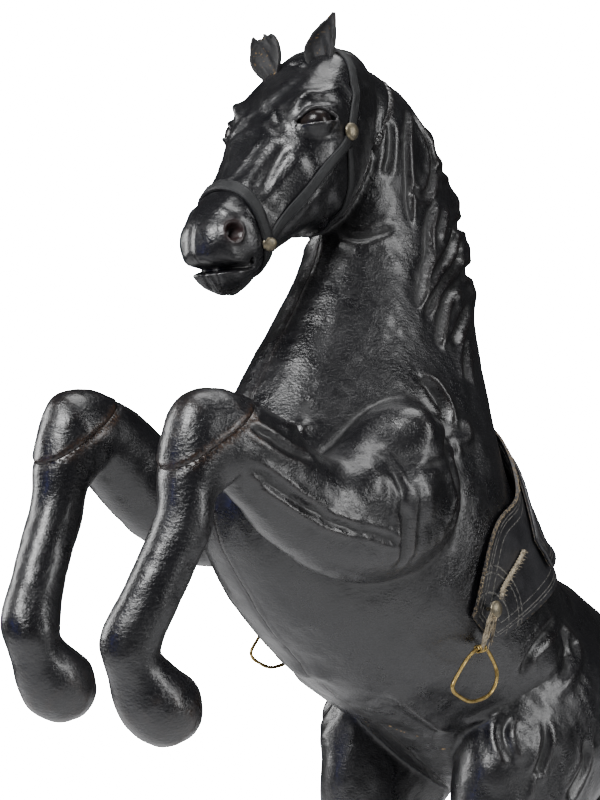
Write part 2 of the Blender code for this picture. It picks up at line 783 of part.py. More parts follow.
def build_bridle(head, trees):
    """Noseband, crown and throat straps round the head, a cheek strap each side, and the studs."""
    across = Vector((1, 0, 0))
    nose = HEAD.rib(NOSEBAND_RIB)[0]
    nose_axis = HEAD.forward(NOSEBAND_RIB)
    nose_up = HEAD.rib(NOSEBAND_RIB)[1].normalized()
    turns = full_circle(20)
    noseband, nose_radii = strap_round("noseband", trees[:1], nose, nose_axis, across, nose_up, turns,
                                       NOSEBAND_WIDTH, closed=True)
    rosette = HEAD.point(*ROSETTE_PLACE)
    middle = Vector((0, rosette.y, rosette.z))
    crown_up = (HEAD.point(CROWN_RIB, 90) - middle).normalized()
    tail_turn = math.degrees((CROWN_STRAP_WIDTH / 2 + GAP) / rosette.x)
    turns = spread(-tail_turn, 180 + tail_turn, 30)
    crown, crown_radii = strap_round("crown_strap", trees, middle, across.cross(crown_up), across,
                                     crown_up, turns, CROWN_STRAP_WIDTH)
    tall = FIGURE_HEIGHT / DESIGN_HEIGHT
    reach = Vector((0, THROAT_REACH[0] * tall, THROAT_REACH[1] * tall))
    throat_down = (reach - middle).normalized()
    start = math.degrees((CROWN_STRAP_WIDTH / 2 + ROSETTE_RADIUS) / rosette.x)
    turns = spread(start, 180 - start, 20)
    strap_round("throat_strap", trees, middle, across.cross(throat_down), across, throat_down, turns,
                THROAT_STRAP_WIDTH, bow=THROAT_BOW * tall, far=THROAT_FAR)
    rosettes = []
    for side in (1, -1):
        out = crown_radii[1] + STRAP_LIFT + STRAP_THICKNESS + GAP
        rosettes.append((middle + across * side * out, across * side))
        build_cheek_strap(side, rosette, nose, nose_axis)
    nose_studs = nose_stud_places(nose, across, nose_up, nose_radii)
    for name, places, radius, strap in (("rosette", rosettes, ROSETTE_RADIUS, crown),
                                        ("noseband_stud", nose_studs, NOSEBAND_STUD_RADIUS, noseband)):
        for side, (base, axis) in zip((1, -1), places):
            stud = stud_mesh(base, axis, radius, NAIL_RADIUS, NAIL_LENGTH)
            make_object(f"{name}_{side_name(side)}", stud, BRASS)
            hole = make_cutter(f"{name}_hole_{side_name(side)}",
                               nail_hole(base, axis, NAIL_RADIUS, NAIL_LENGTH))
            cut(strap, hole)
            cut(head["leather"], hole)
            cut(head["core"], hole)


def nose_stud_places(nose, across, nose_up, radii):
    turn = math.radians(NOSEBAND_STUD_ANGLE)
    out = nose_radius(radii, NOSEBAND_STUD_ANGLE)
    places = []
    for side in (1, -1):
        axis = across * side * math.cos(turn) + nose_up * math.sin(turn)
        places.append((nose + axis * (out + STRAP_LIFT + STRAP_THICKNESS + GAP), axis))
    return places


def nose_radius(radii, angle):
    """Radius of the noseband at an angle, from its even turns."""
    step = 360 / len(radii)
    return max(radii[int((angle + 90) // step)], radii[int((angle + 90) // step) + 1])


def build_cheek_strap(side, rosette, nose, nose_axis):
    """From under the rosette down the cheek to the noseband."""
    start_rib, start_angle = ROSETTE_PLACE
    points, normals = [], []
    for t in spread(0, 1, 40):
        rib = start_rib + (NOSEBAND_RIB - start_rib) * t
        angle = start_angle + (NOSEBAND_STUD_ANGLE - start_angle) * t
        place = HEAD.point(rib, angle)
        clear_of_crown = (place - rosette).length > CROWN_STRAP_WIDTH / 2 + ROSETTE_RADIUS
        clear_of_nose = abs((place - nose).dot(nose_axis)) > NOSEBAND_WIDTH / 2 + CHEEK_STRAP_WIDTH / 3
        if clear_of_crown and clear_of_nose:
            normal = HEAD.normal(rib, angle)
            points.append(Vector((side * place.x, place.y, place.z)))
            normals.append(Vector((side * normal.x, normal.y, normal.z)))
    mesh = ribbon_mesh(points[::3], normals[::3], CHEEK_STRAP_WIDTH, STRAP_THICKNESS, STRAP_LIFT)
    make_object(f"cheek_strap_{side_name(side)}", mesh, STRAP_LEATHER)


def saddle_panel(name, front, rear, step, lift, columns):
    """A sheet over the back between its front and rear edges; returns its object."""
    reach = step * (len(front) - 1)

    def rows(height):
        grid = []
        for u in spread(0, 1, PANEL_ROWS):
            row = []
            for down in spread(-reach, reach, columns):
                place = abs(down) / step
                s = catmull(rear, place) * (1 - u) + catmull(front, place) * u
                row.append(BODY.point(s, 90 - down, height))
            grid.append(row)
        return grid

    mesh = shell_mesh(rows(lift + SADDLE_THICKNESS), rows(lift))
    return make_object(name, mesh, SADDLE_LEATHER)


def skirt_outside(s, angle):
    return BODY.point(s, angle, SADDLE_LIFT + SADDLE_THICKNESS)


def tie_path(roll):
    """The tie's middle line, x inwards-out and z, from over the stud down and round the wire."""
    x, z = -TIE_LEAN, -TIE_DROP
    path = [(0.0, TIE_WIDTH * 0.62), (0.0, 0.0), (0.0, -TIE_WIDTH * 0.62)]
    path.append(((x + roll) * 0.5, (z - TIE_WIDTH * 0.62) / 2 + 1))
    for turn in spread(0, -250, 10):
        path.append((x + roll * math.cos(math.radians(turn)), z + roll * math.sin(math.radians(turn))))
    return path


def build_stirrup(side, skirt, body):
    """Stud, thong, hanging tie and wire stirrup of one side."""
    name = side_name(side)
    rib, angle = SADDLE_STUD_PLACE
    seat = skirt_outside(rib, angle)
    nearby = [skirt_outside(rib + ds, angle + da)
              for ds in (-0.15, 0, 0.15) for da in (-9, -6, -3, 0, 3, 6)]
    out = max(point.x for point in nearby) + TIE_AIR
    stud_base = Vector((side * (out + TIE_THICKNESS + GAP), seat.y, seat.z))
    axis = Vector((side, 0, 0))
    pivot = Vector((side * (out + TIE_THICKNESS / 2), seat.y, seat.z))
    tie_parent = make_joint(f"tie_pivot_{name}", pivot)
    roll = WIRE_RADIUS + TIE_CLEARANCE + TIE_THICKNESS / 2
    tie = build_tie(name, side, pivot, roll, tie_parent)
    hole = make_cutter(f"tie_hole_{name}",
                       rod_mesh(pivot - axis * TIE_THICKNESS, pivot + axis * TIE_THICKNESS,
                                SADDLE_NAIL_RADIUS + TIE_CLEARANCE))
    cut(tie, hole)
    wire = pivot + Vector((-side * TIE_LEAN, 0, -TIE_DROP))
    hinge = make_joint(f"stirrup_pivot_{name}", wire)
    make_object(f"stirrup_{name}", stirrup_mesh(wire), BRASS, wire, hinge)
    build_thong(name, side)
    stud = stud_mesh(stud_base, axis, SADDLE_STUD_RADIUS, SADDLE_NAIL_RADIUS, SADDLE_NAIL_LENGTH)
    make_object(f"saddle_stud_{name}", stud, BRASS)
    nail = make_cutter(f"saddle_nail_hole_{name}",
                       nail_hole(stud_base, axis, SADDLE_NAIL_RADIUS, SADDLE_NAIL_LENGTH))
    cut(skirt, nail)
    cut(body["trunk_leather"][side], nail)
    cut(body["trunk_core"], nail)


def make_joint(name, place):
    """An empty on a joint's axis; what hangs there is parented to it."""
    joint = bpy.data.objects.new(name, None)
    bpy.context.scene.collection.objects.link(joint)
    joint.location = place * MM
    joint.parent = FIGURE
    return joint


def build_tie(name, side, pivot, roll, parent):
    path = tie_path(roll)
    rows = {height: [] for height in (-TIE_THICKNESS / 2, TIE_THICKNESS / 2)}
    for height, edges in rows.items():
        for y in (-TIE_WIDTH / 2, TIE_WIDTH / 2):
            edge = []
            for i, (x, z) in enumerate(path):
                after, before = path[min(i + 1, len(path) - 1)], path[max(i - 1, 0)]
                run = Vector((after[0] - before[0], 0, after[1] - before[1])).normalized()
                out = Vector((-run.z, 0, run.x)) * height
                place = Vector((x, y, z)) + out
                edge.append(pivot + Vector((side * place.x, place.y, place.z)))
            edges.append(edge)
    mesh = shell_mesh(rows[TIE_THICKNESS / 2], rows[-TIE_THICKNESS / 2])
    return make_object(f"stirrup_tie_{name}", mesh, THONG_LEATHER, pivot, parent)


def stirrup_mesh(hinge):
    """A closed loop of wire: a straight top through the tie, wide and round below."""
    half_bar, half = STIRRUP_BAR / 2, STIRRUP_WIDTH / 2
    sides = [(half_bar, 0.0), (half_bar * 1.5, -1.6), (half * 0.8, -STIRRUP_HEIGHT * 0.4),
             (half, -STIRRUP_HEIGHT * 0.66), (half * 0.88, -STIRRUP_HEIGHT * 0.85),
             (half * 0.5, -STIRRUP_HEIGHT * 0.98)]
    loop = sides + [(0.0, -STIRRUP_HEIGHT)] + [(-y, z) for y, z in reversed(sides)]
    rings = []
    for i, (y, z) in enumerate(loop):
        after, before = loop[(i + 1) % len(loop)], loop[i - 1]
        run = Vector((0, after[0] - before[0], after[1] - before[1])).normalized()
        out = run.cross(Vector((1, 0, 0)))
        turns = [2 * math.pi * j / 8 for j in range(8)]
        rings.append([hinge + Vector((0, y, z)) + Vector((math.cos(t), 0, 0)) * WIRE_RADIUS
                      + out * math.sin(t) * WIRE_RADIUS for t in turns])
    bm = bmesh.new()
    grid = add_rows(bm, rings, wrap=True)
    join_edges(bm, grid[-1], grid[0], wrap=True)
    bmesh.ops.recalc_face_normals(bm, faces=bm.faces)
    return bm


def build_thong(name, side):
    """The strand laced down the skirt to the stud."""
    lift = SADDLE_LIFT + SADDLE_THICKNESS + GAP
    stud = skirt_outside(*SADDLE_STUD_PLACE)
    clear = max(TIE_WIDTH, 2 * SADDLE_STUD_RADIUS) * 0.62 + 3 * GAP
    points, normals = [], []
    for t in spread(0, 1, 24):
        rib = THONG_TOP_PLACE[0] + (SADDLE_STUD_PLACE[0] - THONG_TOP_PLACE[0]) * t
        angle = THONG_TOP_PLACE[1] + (SADDLE_STUD_PLACE[1] - THONG_TOP_PLACE[1]) * t
        place, normal = BODY.point(rib, angle), BODY.normal(rib, angle)
        if (place - stud).length > clear + lift:
            points.append(Vector((side * place.x, place.y, place.z)))
            normals.append(Vector((side * normal.x, normal.y, normal.z)))
    mesh = ribbon_mesh(points[::4], normals[::4], THONG_WIDTH, THONG_THICKNESS, lift)
    make_object(f"stirrup_thong_{name}", mesh, THONG_LEATHER)


def build_saddle(body):
    """Skirt, seat, and each side's stud, thong, tie and stirrup."""
    skirt = saddle_panel("saddle_skirt", SKIRT_FRONT, SKIRT_REAR, SKIRT_STEP, SADDLE_LIFT, 20)
    saddle_panel("saddle_seat", SEAT_FRONT, SEAT_REAR, SEAT_STEP,
                 SADDLE_LIFT + SADDLE_THICKNESS + SEAT_AIR, 14)
    for side in (1, -1):
        build_stirrup(side, skirt, body)


def stand_on_origin():
    """Moves the figure so that the middle of its box's bottom is at the origin."""
    bpy.context.view_layer.update()
    corners = [obj.matrix_world @ Vector(corner) for obj in bpy.data.objects
               if obj.type == 'MESH' and not obj.hide_render for corner in obj.bound_box]
    low = [min(corner[i] for corner in corners) for i in range(3)]
    high = [max(corner[i] for corner in corners) for i in range(3)]
    FIGURE.location = (-(low[0] + high[0]) / 2, -(low[1] + high[1]) / 2, -low[2])


BODY_PARTS = build_body()
HEAD_PARTS = build_head(BODY_PARTS)
build_legs(BODY_PARTS)
build_tail(BODY_PARTS)
build_ears(envelope("head_envelope", HEAD, HEAD_ROWS, HEAD_SIDES))
build_hair()
build_bridle(HEAD_PARTS, [outside_tree(HEAD, HEAD_ROWS, HEAD_SIDES),
                          outside_tree(BODY, NECK_ROWS, BODY_SIDES)])
build_saddle(BODY_PARTS)
stand_on_origin()
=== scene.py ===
import math

import bmesh
import bpy
import numpy as np
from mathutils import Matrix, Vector
from mathutils.bvhtree import BVHTree


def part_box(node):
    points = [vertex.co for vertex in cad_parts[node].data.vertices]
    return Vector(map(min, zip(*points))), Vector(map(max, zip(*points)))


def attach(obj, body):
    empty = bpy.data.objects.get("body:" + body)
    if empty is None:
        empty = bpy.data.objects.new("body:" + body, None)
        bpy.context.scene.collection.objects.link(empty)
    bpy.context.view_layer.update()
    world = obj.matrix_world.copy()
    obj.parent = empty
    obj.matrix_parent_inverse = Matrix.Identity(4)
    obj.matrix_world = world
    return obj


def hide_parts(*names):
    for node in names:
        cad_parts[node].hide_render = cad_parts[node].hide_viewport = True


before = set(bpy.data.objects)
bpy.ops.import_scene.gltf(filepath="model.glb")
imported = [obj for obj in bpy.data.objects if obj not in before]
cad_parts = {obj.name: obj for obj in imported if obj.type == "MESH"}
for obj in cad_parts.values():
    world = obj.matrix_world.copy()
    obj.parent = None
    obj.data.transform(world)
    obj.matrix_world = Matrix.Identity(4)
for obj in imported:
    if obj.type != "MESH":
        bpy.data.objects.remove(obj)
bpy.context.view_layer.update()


# THE HORSE'S BODY FORMS
# The horse is carved in wood and covered in one skin of wet-moulded black leather. Its shape is a
# run of oval ribs for the trunk and neck, one for the head, one for each leg and one for the tail.
mm = 0.001
stands_at = np.array((0.0, -79.58, 0.0))      # from the carver's own datum to the floor's origin

# topline y, z; underline y, z; half width
trunk_ribs = (
    (249, 256, 232, 214, 20), (247, 281, 208, 200, 44), (234, 306, 172, 201, 56),
    (202, 326, 138, 214, 59), (166, 344, 104, 233, 59), (138, 372, 62, 264, 63),
    (115, 404, 14, 294, 65), (112, 436, -30, 334, 61), (117, 462, -57, 381, 49),
    (119, 482, -31, 430, 38), (116, 505, -6, 466, 31), (109, 528, 9, 490, 27),
    (93, 554, 16, 508, 24), (67, 576, 20, 528, 23), (38, 586, 22, 545, 19),
)
head_ribs = (
    (38, 584, 34, 530, 17), (22, 591, 20, 510, 24), (4, 586, 4, 502, 28),
    (-14, 571, -9, 500, 30), (-27, 553, -17, 496, 26), (-39, 535, -25, 490, 19),
    (-50, 520, -32, 484, 16.5), (-61, 509, -38, 477, 16), (-68, 499, -46, 472, 14.5),
    (-69, 488, -55, 473, 8),
)
# x, y, z, half width, half depth
forearm_stations = (
    (36, 48, 396, 12, 22), (44, 28, 392, 24, 36), (46, 4, 384, 25, 37),
    (46, -24, 378, 21, 29), (44, -50, 385, 18, 21.5), (42, -79, 407, 16, 19),
)
knee_ribs = (
    (40.5, -92, 431, -94, 390, 15.5), (39.2, -110, 428, -95.5, 388.5, 14),
    (38.8, -118, 412, -96.5, 387, 12.5), (38.6, -120, 398, -98, 383.5, 11.5),
)
cannon_stations = (
    (38.8, -111, 378, 11.2, 11.6), (35, -122, 354, 10.5, 11.5), (30.5, -130, 335, 11.5, 12.5),
    (30.5, -127, 324, 11, 11.5), (31.5, -119, 312, 14.5, 15), (32, -110, 305, 14, 14.5),
    (32, -102, 300, 8, 8),
)
hind_stations = (
    (33, 190, 288, 20, 34), (40, 164, 268, 29, 52), (42, 132, 250, 28, 54),
    (42, 117, 222, 26, 48), (43, 113, 188, 21, 35), (44, 125, 156, 15, 23),
    (44, 141, 122, 12.5, 17.5), (43, 134, 94, 10, 12.5), (42, 120, 62, 9.5, 11),
    (41, 109, 38, 12, 13), (41, 98, 24, 11.5, 13), (41, 91, 12, 15, 19), (41, 89, 0, 17, 23),
)
tail_stations = (
    (0, 228, 240, 12, 12), (0, 247, 242, 13, 13), (0, 261, 231, 14, 14), (0, 267, 206, 16, 15),
    (0, 270, 170, 18, 16), (0, 276, 125, 18, 16), (0, 282, 80, 16, 15), (0, 286, 40, 14, 14),
    (0, 289, 0, 11, 11),
)
brow_squareness = 2.8


def smooth_through(rows, s):
    """Values at positions s of the smooth curves through rows of values."""
    rows = np.asarray(rows, float)
    s = np.asarray(s, float)
    i = np.clip(s.astype(int), 0, len(rows) - 2)
    t = (s - i)[..., None]
    b, c = rows[i], rows[i + 1]
    a = np.where((i > 0)[..., None], rows[np.maximum(i - 1, 0)], 2 * b - c)
    last = i + 2 >= len(rows)
    d = np.where(last[..., None], 2 * c - b, rows[np.minimum(i + 2, len(rows) - 1)])
    return 0.5 * ((3 * b - a - 3 * c + d) * t ** 3 + (2 * a - 5 * b + 4 * c - d) * t ** 2
                  + (c - a) * t + 2 * b)


def ribs_of_limb(stations, level_end=False):
    """Ribs square to a limb's run."""
    ribs = []
    for i, (x, y, z, width, depth) in enumerate(stations):
        before, after = stations[max(i - 1, 0)], stations[min(i + 1, len(stations) - 1)]
        run = Vector((after[1] - before[1], after[2] - before[2])).normalized()
        ribs.append((x, y + run.y * depth, z - run.x * depth, y - run.y * depth, z + run.x * depth,
                     width))
    if level_end:
        x, ty, tz, uy, uz, width = ribs[-1]
        ribs[-1] = (x, ty, 0, uy, 0, width)
    return ribs


def on_form(ribs, s, angle, squareness=2.0):
    """Points on a carved form at rib positions s and angles in degrees, 90 on the topline."""
    s, angle = np.broadcast_arrays(np.asarray(s, float), np.asarray(angle, float))
    x, ty, tz, uy, uz, width = np.moveaxis(smooth_through(ribs, s), -1, 0)
    across, along = np.cos(np.radians(angle)), np.sin(np.radians(angle))
    up = along > 0
    power = 2.0 / squareness
    across = np.where(up, np.sign(across) * np.abs(across) ** power, across)
    along = np.where(up, np.abs(along) ** power, along)
    points = np.stack((x + width * across, (ty + uy) / 2 + (ty - uy) / 2 * along,
                       (tz + uz) / 2 + (tz - uz) / 2 * along), -1)
    return points + stands_at


def off_form(ribs, s, angle, lift):
    """Points standing off a form along its outward normals."""
    points = on_form(ribs, s, angle)
    along = on_form(ribs, s + 0.01, angle) - on_form(ribs, s - 0.01, angle)
    around = on_form(ribs, s, angle + 0.5) - on_form(ribs, s, angle - 0.5)
    normals = np.cross(around, along)
    normals /= np.linalg.norm(normals, axis=-1, keepdims=True)
    middle = smooth_through(ribs, s)
    outward = points - stands_at
    outward[..., 0] -= middle[..., 0]
    outward[..., 1] -= (middle[..., 1] + middle[..., 3]) / 2
    outward[..., 2] -= (middle[..., 2] + middle[..., 4]) / 2
    normals *= np.sign((normals * outward).sum(-1))[..., None]
    return points + normals * np.asarray(lift, float)[..., None]


def grid_faces(rows, columns, wrap, first=0):
    """Quads of a grid of points laid row by row."""
    faces = []
    for r in range(rows - 1):
        for c in range(columns if wrap else columns - 1):
            k = (c + 1) % columns
            faces.append((first + r * columns + c, first + r * columns + k,
                          first + (r + 1) * columns + k, first + (r + 1) * columns + c))
    return faces


def add_form(points, faces, ribs, rings, around, squareness=2.0, side=1):
    """Adds a closed solid of a form's ribs to lists of points and faces."""
    s = np.linspace(0, len(ribs) - 1, rings)[:, None]
    grid = on_form(ribs, s, np.linspace(0, 360, around, endpoint=False)[None, :], squareness)
    grid[..., 0] *= side
    first = len(points)
    points.extend(map(tuple, grid.reshape(-1, 3)))
    faces.extend(grid_faces(rings, around, True, first))
    for ring, start in ((grid[0], first), (grid[-1], first + (rings - 1) * around)):
        middle = len(points)
        points.append(tuple(ring.mean(0)))
        faces.extend((start + c, middle, start + (c + 1) % around) for c in range(around))


def new_piece(name, points, faces, material=None, smooth=True):
    """An object at the origin from points in millimetres."""
    mesh = bpy.data.meshes.new(name)
    mesh.from_pydata([tuple(v) for v in np.asarray(points) * mm], [], faces)
    mesh.validate()
    shell = bmesh.new()
    shell.from_mesh(mesh)
    bmesh.ops.recalc_face_normals(shell, faces=shell.faces)
    shell.to_mesh(mesh)
    shell.free()
    if smooth:
        mesh.shade_smooth()
    if material:
        mesh.materials.append(material)
    piece = bpy.data.objects.new(name, mesh)
    bpy.context.scene.collection.objects.link(piece)
    return piece


body_ribs = [(0, *rib) for rib in trunk_ribs]
skull_ribs = [(0, *rib) for rib in head_ribs]
foreleg_ribs = ribs_of_limb(forearm_stations) + list(knee_ribs) + ribs_of_limb(cannon_stations)
hindleg_ribs = ribs_of_limb(hind_stations, level_end=True)
tail_ribs = ribs_of_limb(tail_stations, level_end=True)


# THE HIDE
# One skin of leather, soaked, pulled over the carving and pressed into its hollows with a bone
# folder while wet, so the muscles, folds and mane locks stand in the leather itself.
hide_grain = 1.35             # spacing of the worked surface
block_points, block_faces = [], []
add_form(block_points, block_faces, body_ribs, 180, 96)
add_form(block_points, block_faces, skull_ribs, 120, 72, brow_squareness)
for side in (1, -1):
    add_form(block_points, block_faces, foreleg_ribs, 150, 60, side=side)
    add_form(block_points, block_faces, hindleg_ribs, 170, 60, side=side)
add_form(block_points, block_faces, tail_ribs, 110, 48)
block = new_piece("hide_block", block_points, block_faces)


def worked(piece, kind, **settings):
    """Applies one modifier to a piece's mesh."""
    modifier = piece.modifiers.new(kind.lower(), kind)
    for key, value in settings.items():
        setattr(modifier, key, value)
    result = bpy.data.meshes.new_from_object(
        piece.evaluated_get(bpy.context.evaluated_depsgraph_get()))
    piece.modifiers.remove(modifier)
    piece.data = result
    return piece


worked(block, 'REMESH', mode='VOXEL', voxel_size=hide_grain * mm)


def points_of(mesh):
    flat = np.empty(len(mesh.vertices) * 3, np.float32)
    mesh.vertices.foreach_get("co", flat)
    return flat.reshape(-1, 3).astype(float) / mm


def set_points(mesh, points):
    mesh.vertices.foreach_set("co", (points * mm).astype(np.float32).ravel())
    mesh.update()


def normals_of(mesh):
    flat = np.empty(len(mesh.vertices) * 3, np.float32)
    mesh.vertices.foreach_get("normal", flat)
    return flat.reshape(-1, 3).astype(float)


def edges_of(mesh):
    flat = np.empty(len(mesh.edges) * 2, np.int32)
    mesh.edges.foreach_get("vertices", flat)
    return flat.reshape(-1, 2)


def eased(points, edges, passes):
    """Points drawn towards the mean of their neighbours and pushed back, so nothing shrinks."""
    count = np.bincount(edges.ravel(), minlength=len(points))[:, None]
    for turn in range(passes * 2):
        total = np.stack([np.bincount(edges[:, 0], points[edges[:, 1], k], len(points))
                          + np.bincount(edges[:, 1], points[edges[:, 0], k], len(points))
                          for k in range(3)], 1)
        step = (0.55 if turn % 2 == 0 else -0.56) * (total / count - points)
        points = points + step
    return points


edges = edges_of(block.data)
points = points_of(block.data)
points = eased(points, edges, 14)


# Each stroke: its kind, half width, height, and places on the left side. A dab is a round boss or
# dent, a ridge is round, a crease is pressed in with raised lips, and a lap drops sharply on one
# side like a lock of hair.
strokes = (
    # brow, lids and temple
    ("ridge", 2.4, 1.5, ((16, -104, 552), (18, -101, 556), (20, -98, 559), (24, -93, 562),
                         (25, -86, 563), (27, -82, 562))),
    ("crease", 1.4, 1.1, ((20, -102, 554), (22, -97, 558), (26, -92, 558), (27, -85, 558))),
    ("crease", 1.6, 0.7, ((21, -106, 543), (27, -99, 541), (30, -90, 543), (29, -83, 546))),
    ("dab", 7, 1.3, ((18, -76, 580),)),
    ("ridge", 2, 1.1, ((26, -75, 563), (25, -67, 567), (22, -56, 571))),
    ("crease", 1.5, 0.8, ((25, -75, 570), (26, -71, 564), (27, -75, 557))),
    ("crease", 3, 0.9, ((-14, -90, 573), (-7.6, -99, 562), (1.4, -107, 552), (13, -110, 545))),
    ("crease", 2.2, 0.8, ((3.6, -104, 557), (11, -109, 547), (18, -109, 543))),
    ("dab", 2.2, -1.9, ((-1.3, -82, 581),)),
    ("dab", 3.5, -2.2, ((9.8, -86, 580),)),
    ("dab", 4.5, 2.4, ((21, -99, 560),)),
    # cheek, nose and jaw
    ("crease", 3.2, 1.3, ((19, -109, 539), (18, -113, 533), (16, -118, 524), (15, -124, 514))),
    ("ridge", 0.9, 0.7, ((21, -109, 535), (19, -113, 528), (17, -117, 519), (16, -122, 510))),
    ("ridge", 4.5, 1.3, ((25, -104, 534), (21, -110, 525), (18, -116, 514), (17, -120, 508))),
    ("ridge", 1.6, 0.8, ((-7.7, -113, 542), (-5.6, -119, 534), (-2.8, -126, 525), (3.4, -133, 516))),
    ("ridge", 2.2, 1, ((26, -94, 518), (23, -100, 513), (19, -105, 505), (16, -107, 500))),
    ("dab", 12, 2.2, ((22, -72, 521),)),
    ("ridge", 2.4, 0.8, ((4.1, -140, 509), (12, -138, 506), (16, -130, 502), (16, -124, 495))),
    ("dab", 1.6, -1.9, ((14, -126, 486),)),
    ("crease", 1, 0.7, ((10, -125, 483), (13, -122, 485), (13, -118, 488))),
    ("crease", 2.2, 1.3, ((21, -42, 559), (22, -41, 548), (22, -42, 539), (21, -44, 531))),
    ("crease", 2, 1.3, ((24, -39, 508), (20, -50, 504), (15, -58, 502), (6.8, -63, 506))),
    ("crease", 3, 1.2, ((26, -92, 519), (18, -81, 511), (8, -62, 506))),
    # mane locks
    ("lap", 3, 2.4, ((18, -23, 567), (23, -29, 550), (24, -29, 531), (25, -29, 516), (26, -29, 509))),
    ("crease", 2, 2.5, ((17, -21, 566), (20, -15, 560), (20, -5.6, 547), (23, -9.5, 533), (25, -19, 521))),
    ("crease", 1.8, 1.4, ((24, -28, 528), (25, -23, 524), (24, -14, 526))),
    ("lap", 4, 3.1, ((24, -6.4, 525), (27, -17, 510), (29, -20, 496), (31, -26, 486), (34, -35, 469))),
    ("ridge", 3, 2.5, ((24, -0.3, 521), (26, -5.2, 511), (28, -11, 502))),
    ("crease", 2, 3.1, ((24, 9, 513), (27, 0.3, 501), (30, -18, 488), (32, -28, 478))),
    ("crease", 2, 2.8, ((25, 13, 506), (26, 6.2, 495), (31, -14, 484), (34, -26, 472), (36, -31, 465))),
    ("lap", 3.2, 2.8, ((29, 4.9, 483), (33, -9.7, 476), (36, -18, 466), (39, -25, 454), (41, -24, 449))),
    ("crease", 2.2, 2.8, ((30, 15, 474), (35, -1.9, 464), (40, -16, 453))),
    ("dab", 4, 2.1, ((32, -3, 475),)),
    ("crease", 2.4, 2, ((36, 2, 456), (41, -7, 446), (45, -12, 434))),
    ("dab", 6, 2.6, ((15.4, -1, 556),)),
    ("dab", 6.5, 3.2, ((17.1, 16.8, 526),)),
    ("dab", 7, 3.4, ((19.8, 22, 502),)),
    ("dab", 7, 3.0, ((23, 23, 480),)),
    ("crease", 2.2, 2.8, ((24, -4, 538), (19, 9, 541), (9, 15, 543))),
    ("crease", 2.2, 3.0, ((27, 6, 512), (21, 18, 514), (10, 29, 515))),
    ("crease", 2.4, 2.8, ((30, 9, 490), (25, 20, 491), (12, 33, 492))),
    # shoulder and upper arm
    ("crease", 1.8, 2.5, ((43, -48, 436), (46, -40, 432), (49, -36, 425), (52, -37, 416))),
    ("dab", 12, 7.5, ((61, -73, 414),)),
    ("crease", 3, 3.4, ((44, -46, 436), (48, -40, 428), (51, -38, 417), (65, -58, 407), (67, -63, 400))),
    ("crease", 2.2, 3.1, ((67, -62, 400), (68, -56, 392), (66, -51, 384), (66, -53, 378), (66, -58, 371))),
    ("ridge", 3.5, 2.2, ((52, -24, 419), (55, -26, 410), (55, -35, 406), (57, -34, 399))),
    ("dab", 10, 4.2, ((69, -79, 387),)),
    ("crease", 2, 2.2, ((67, -92, 388), (67, -86, 393), (69, -74, 398), (67, -62, 400))),
    ("dab", 11, 4.2, ((64, -105, 393),)),
    ("ridge", 2, 2, ((58, -95, 406), (63, -93, 400), (67, -89, 394))),
    ("crease", 2, 2.1, ((64, -98, 397), (67, -94, 390), (68, -94, 380), (68, -93, 376))),
    ("crease", 2.2, 3.4, ((67, -90, 392), (68, -90, 384), (68, -90, 376), (66, -88, 367), (61, -84, 357))),
    ("crease", 0.8, 0.8, ((62, -111, 393), (65, -103, 390))),
    ("crease", 1.6, 2.1, ((55, -169, 400), (57, -155, 393), (59, -142, 385), (61, -129, 380))),
    ("crease", 1.6, 2.4, ((54, -165, 396), (58, -151, 388), (60, -134, 379), (64, -113, 372))),
    ("crease", 1.6, 1.7, ((55, -171, 417), (57, -160, 411), (58, -150, 406), (58, -136, 402))),
    ("ridge", 3.5, 2, ((53, -155, 418), (52, -144, 415), (26, -107, 414), (31, -97, 419))),
    ("crease", 1.6, 2, ((64, -113, 373), (65, -102, 370), (66, -90, 366))),
    ("crease", 0.8, 1.1, ((42, -81, 339), (43, -78, 335))),
    # flank, haunch and thigh
    ("crease", 2.6, 2.5, ((59, 43, 318), (62, 26, 311), (60, 17, 304), (58, 14, 294))),
    ("dab", 11, 3.6, ((60, 35, 300),)),
    ("ridge", 3, 2.5, ((58, 52, 314), (56, 66, 304), (60, 62, 295), (63, 50, 287), (62, 38, 281))),
    ("crease", 2.2, 1.7, ((58, 50, 313), (58, 53, 302), (60, 50, 294), (61, 40, 287))),
    ("crease", 3, 2, ((39, 80, 328), (45, 75, 324), (49, 70, 320))),
    ("dab", 10, 3.6, ((59, 13, 261),)),
    ("dab", 9, 3.1, ((51, 1.6, 250),)),
    ("crease", 2.6, 2.8, ((52, 14, 275), (53, 7.1, 267), (56, 6.1, 258), (57, 7.2, 252))),
    ("crease", 2.4, 2.2, ((61, 27, 271), (64, 25, 262), (65, 21, 253), (63, 16, 244))),
    ("ridge", 2, 1.7, ((64, 19, 249), (63, 16, 242), (63, 14, 235))),
    ("crease", 2.8, 2.5, ((69, 55, 257), (70, 54, 245), (69, 44, 235), (68, 39, 231))),
    ("dab", 7, 1.4, ((66, 32, 262),)),
    ("ridge", 4, 2.5, ((30, -51, 296), (28, -34, 284), (29, -16, 272), (32, -3.4, 266))),
    ("ridge", 3, 1.7, ((37, -4, 270), (45, 3.8, 274), (52, 15, 276))),
    # belly
    ("dab", 6, 2.2, ((-6.4, -73, 301),)),
)


# the tail's locks and the coronets of the hind hooves
strokes += tuple(("crease", 1.7, 1.7, [on_form(tail_ribs, s, angle + 14 * math.sin(1.3 * s + angle))
                                       for s in np.linspace(1.2, 7.7, 9)])
                 for angle in (-75, -45, -15, 15, 45, 75))
strokes += (("crease", 1.5, 1.1, [on_form(hindleg_ribs, 10.55, angle)
                                  for angle in np.linspace(0, 360, 13)]),)


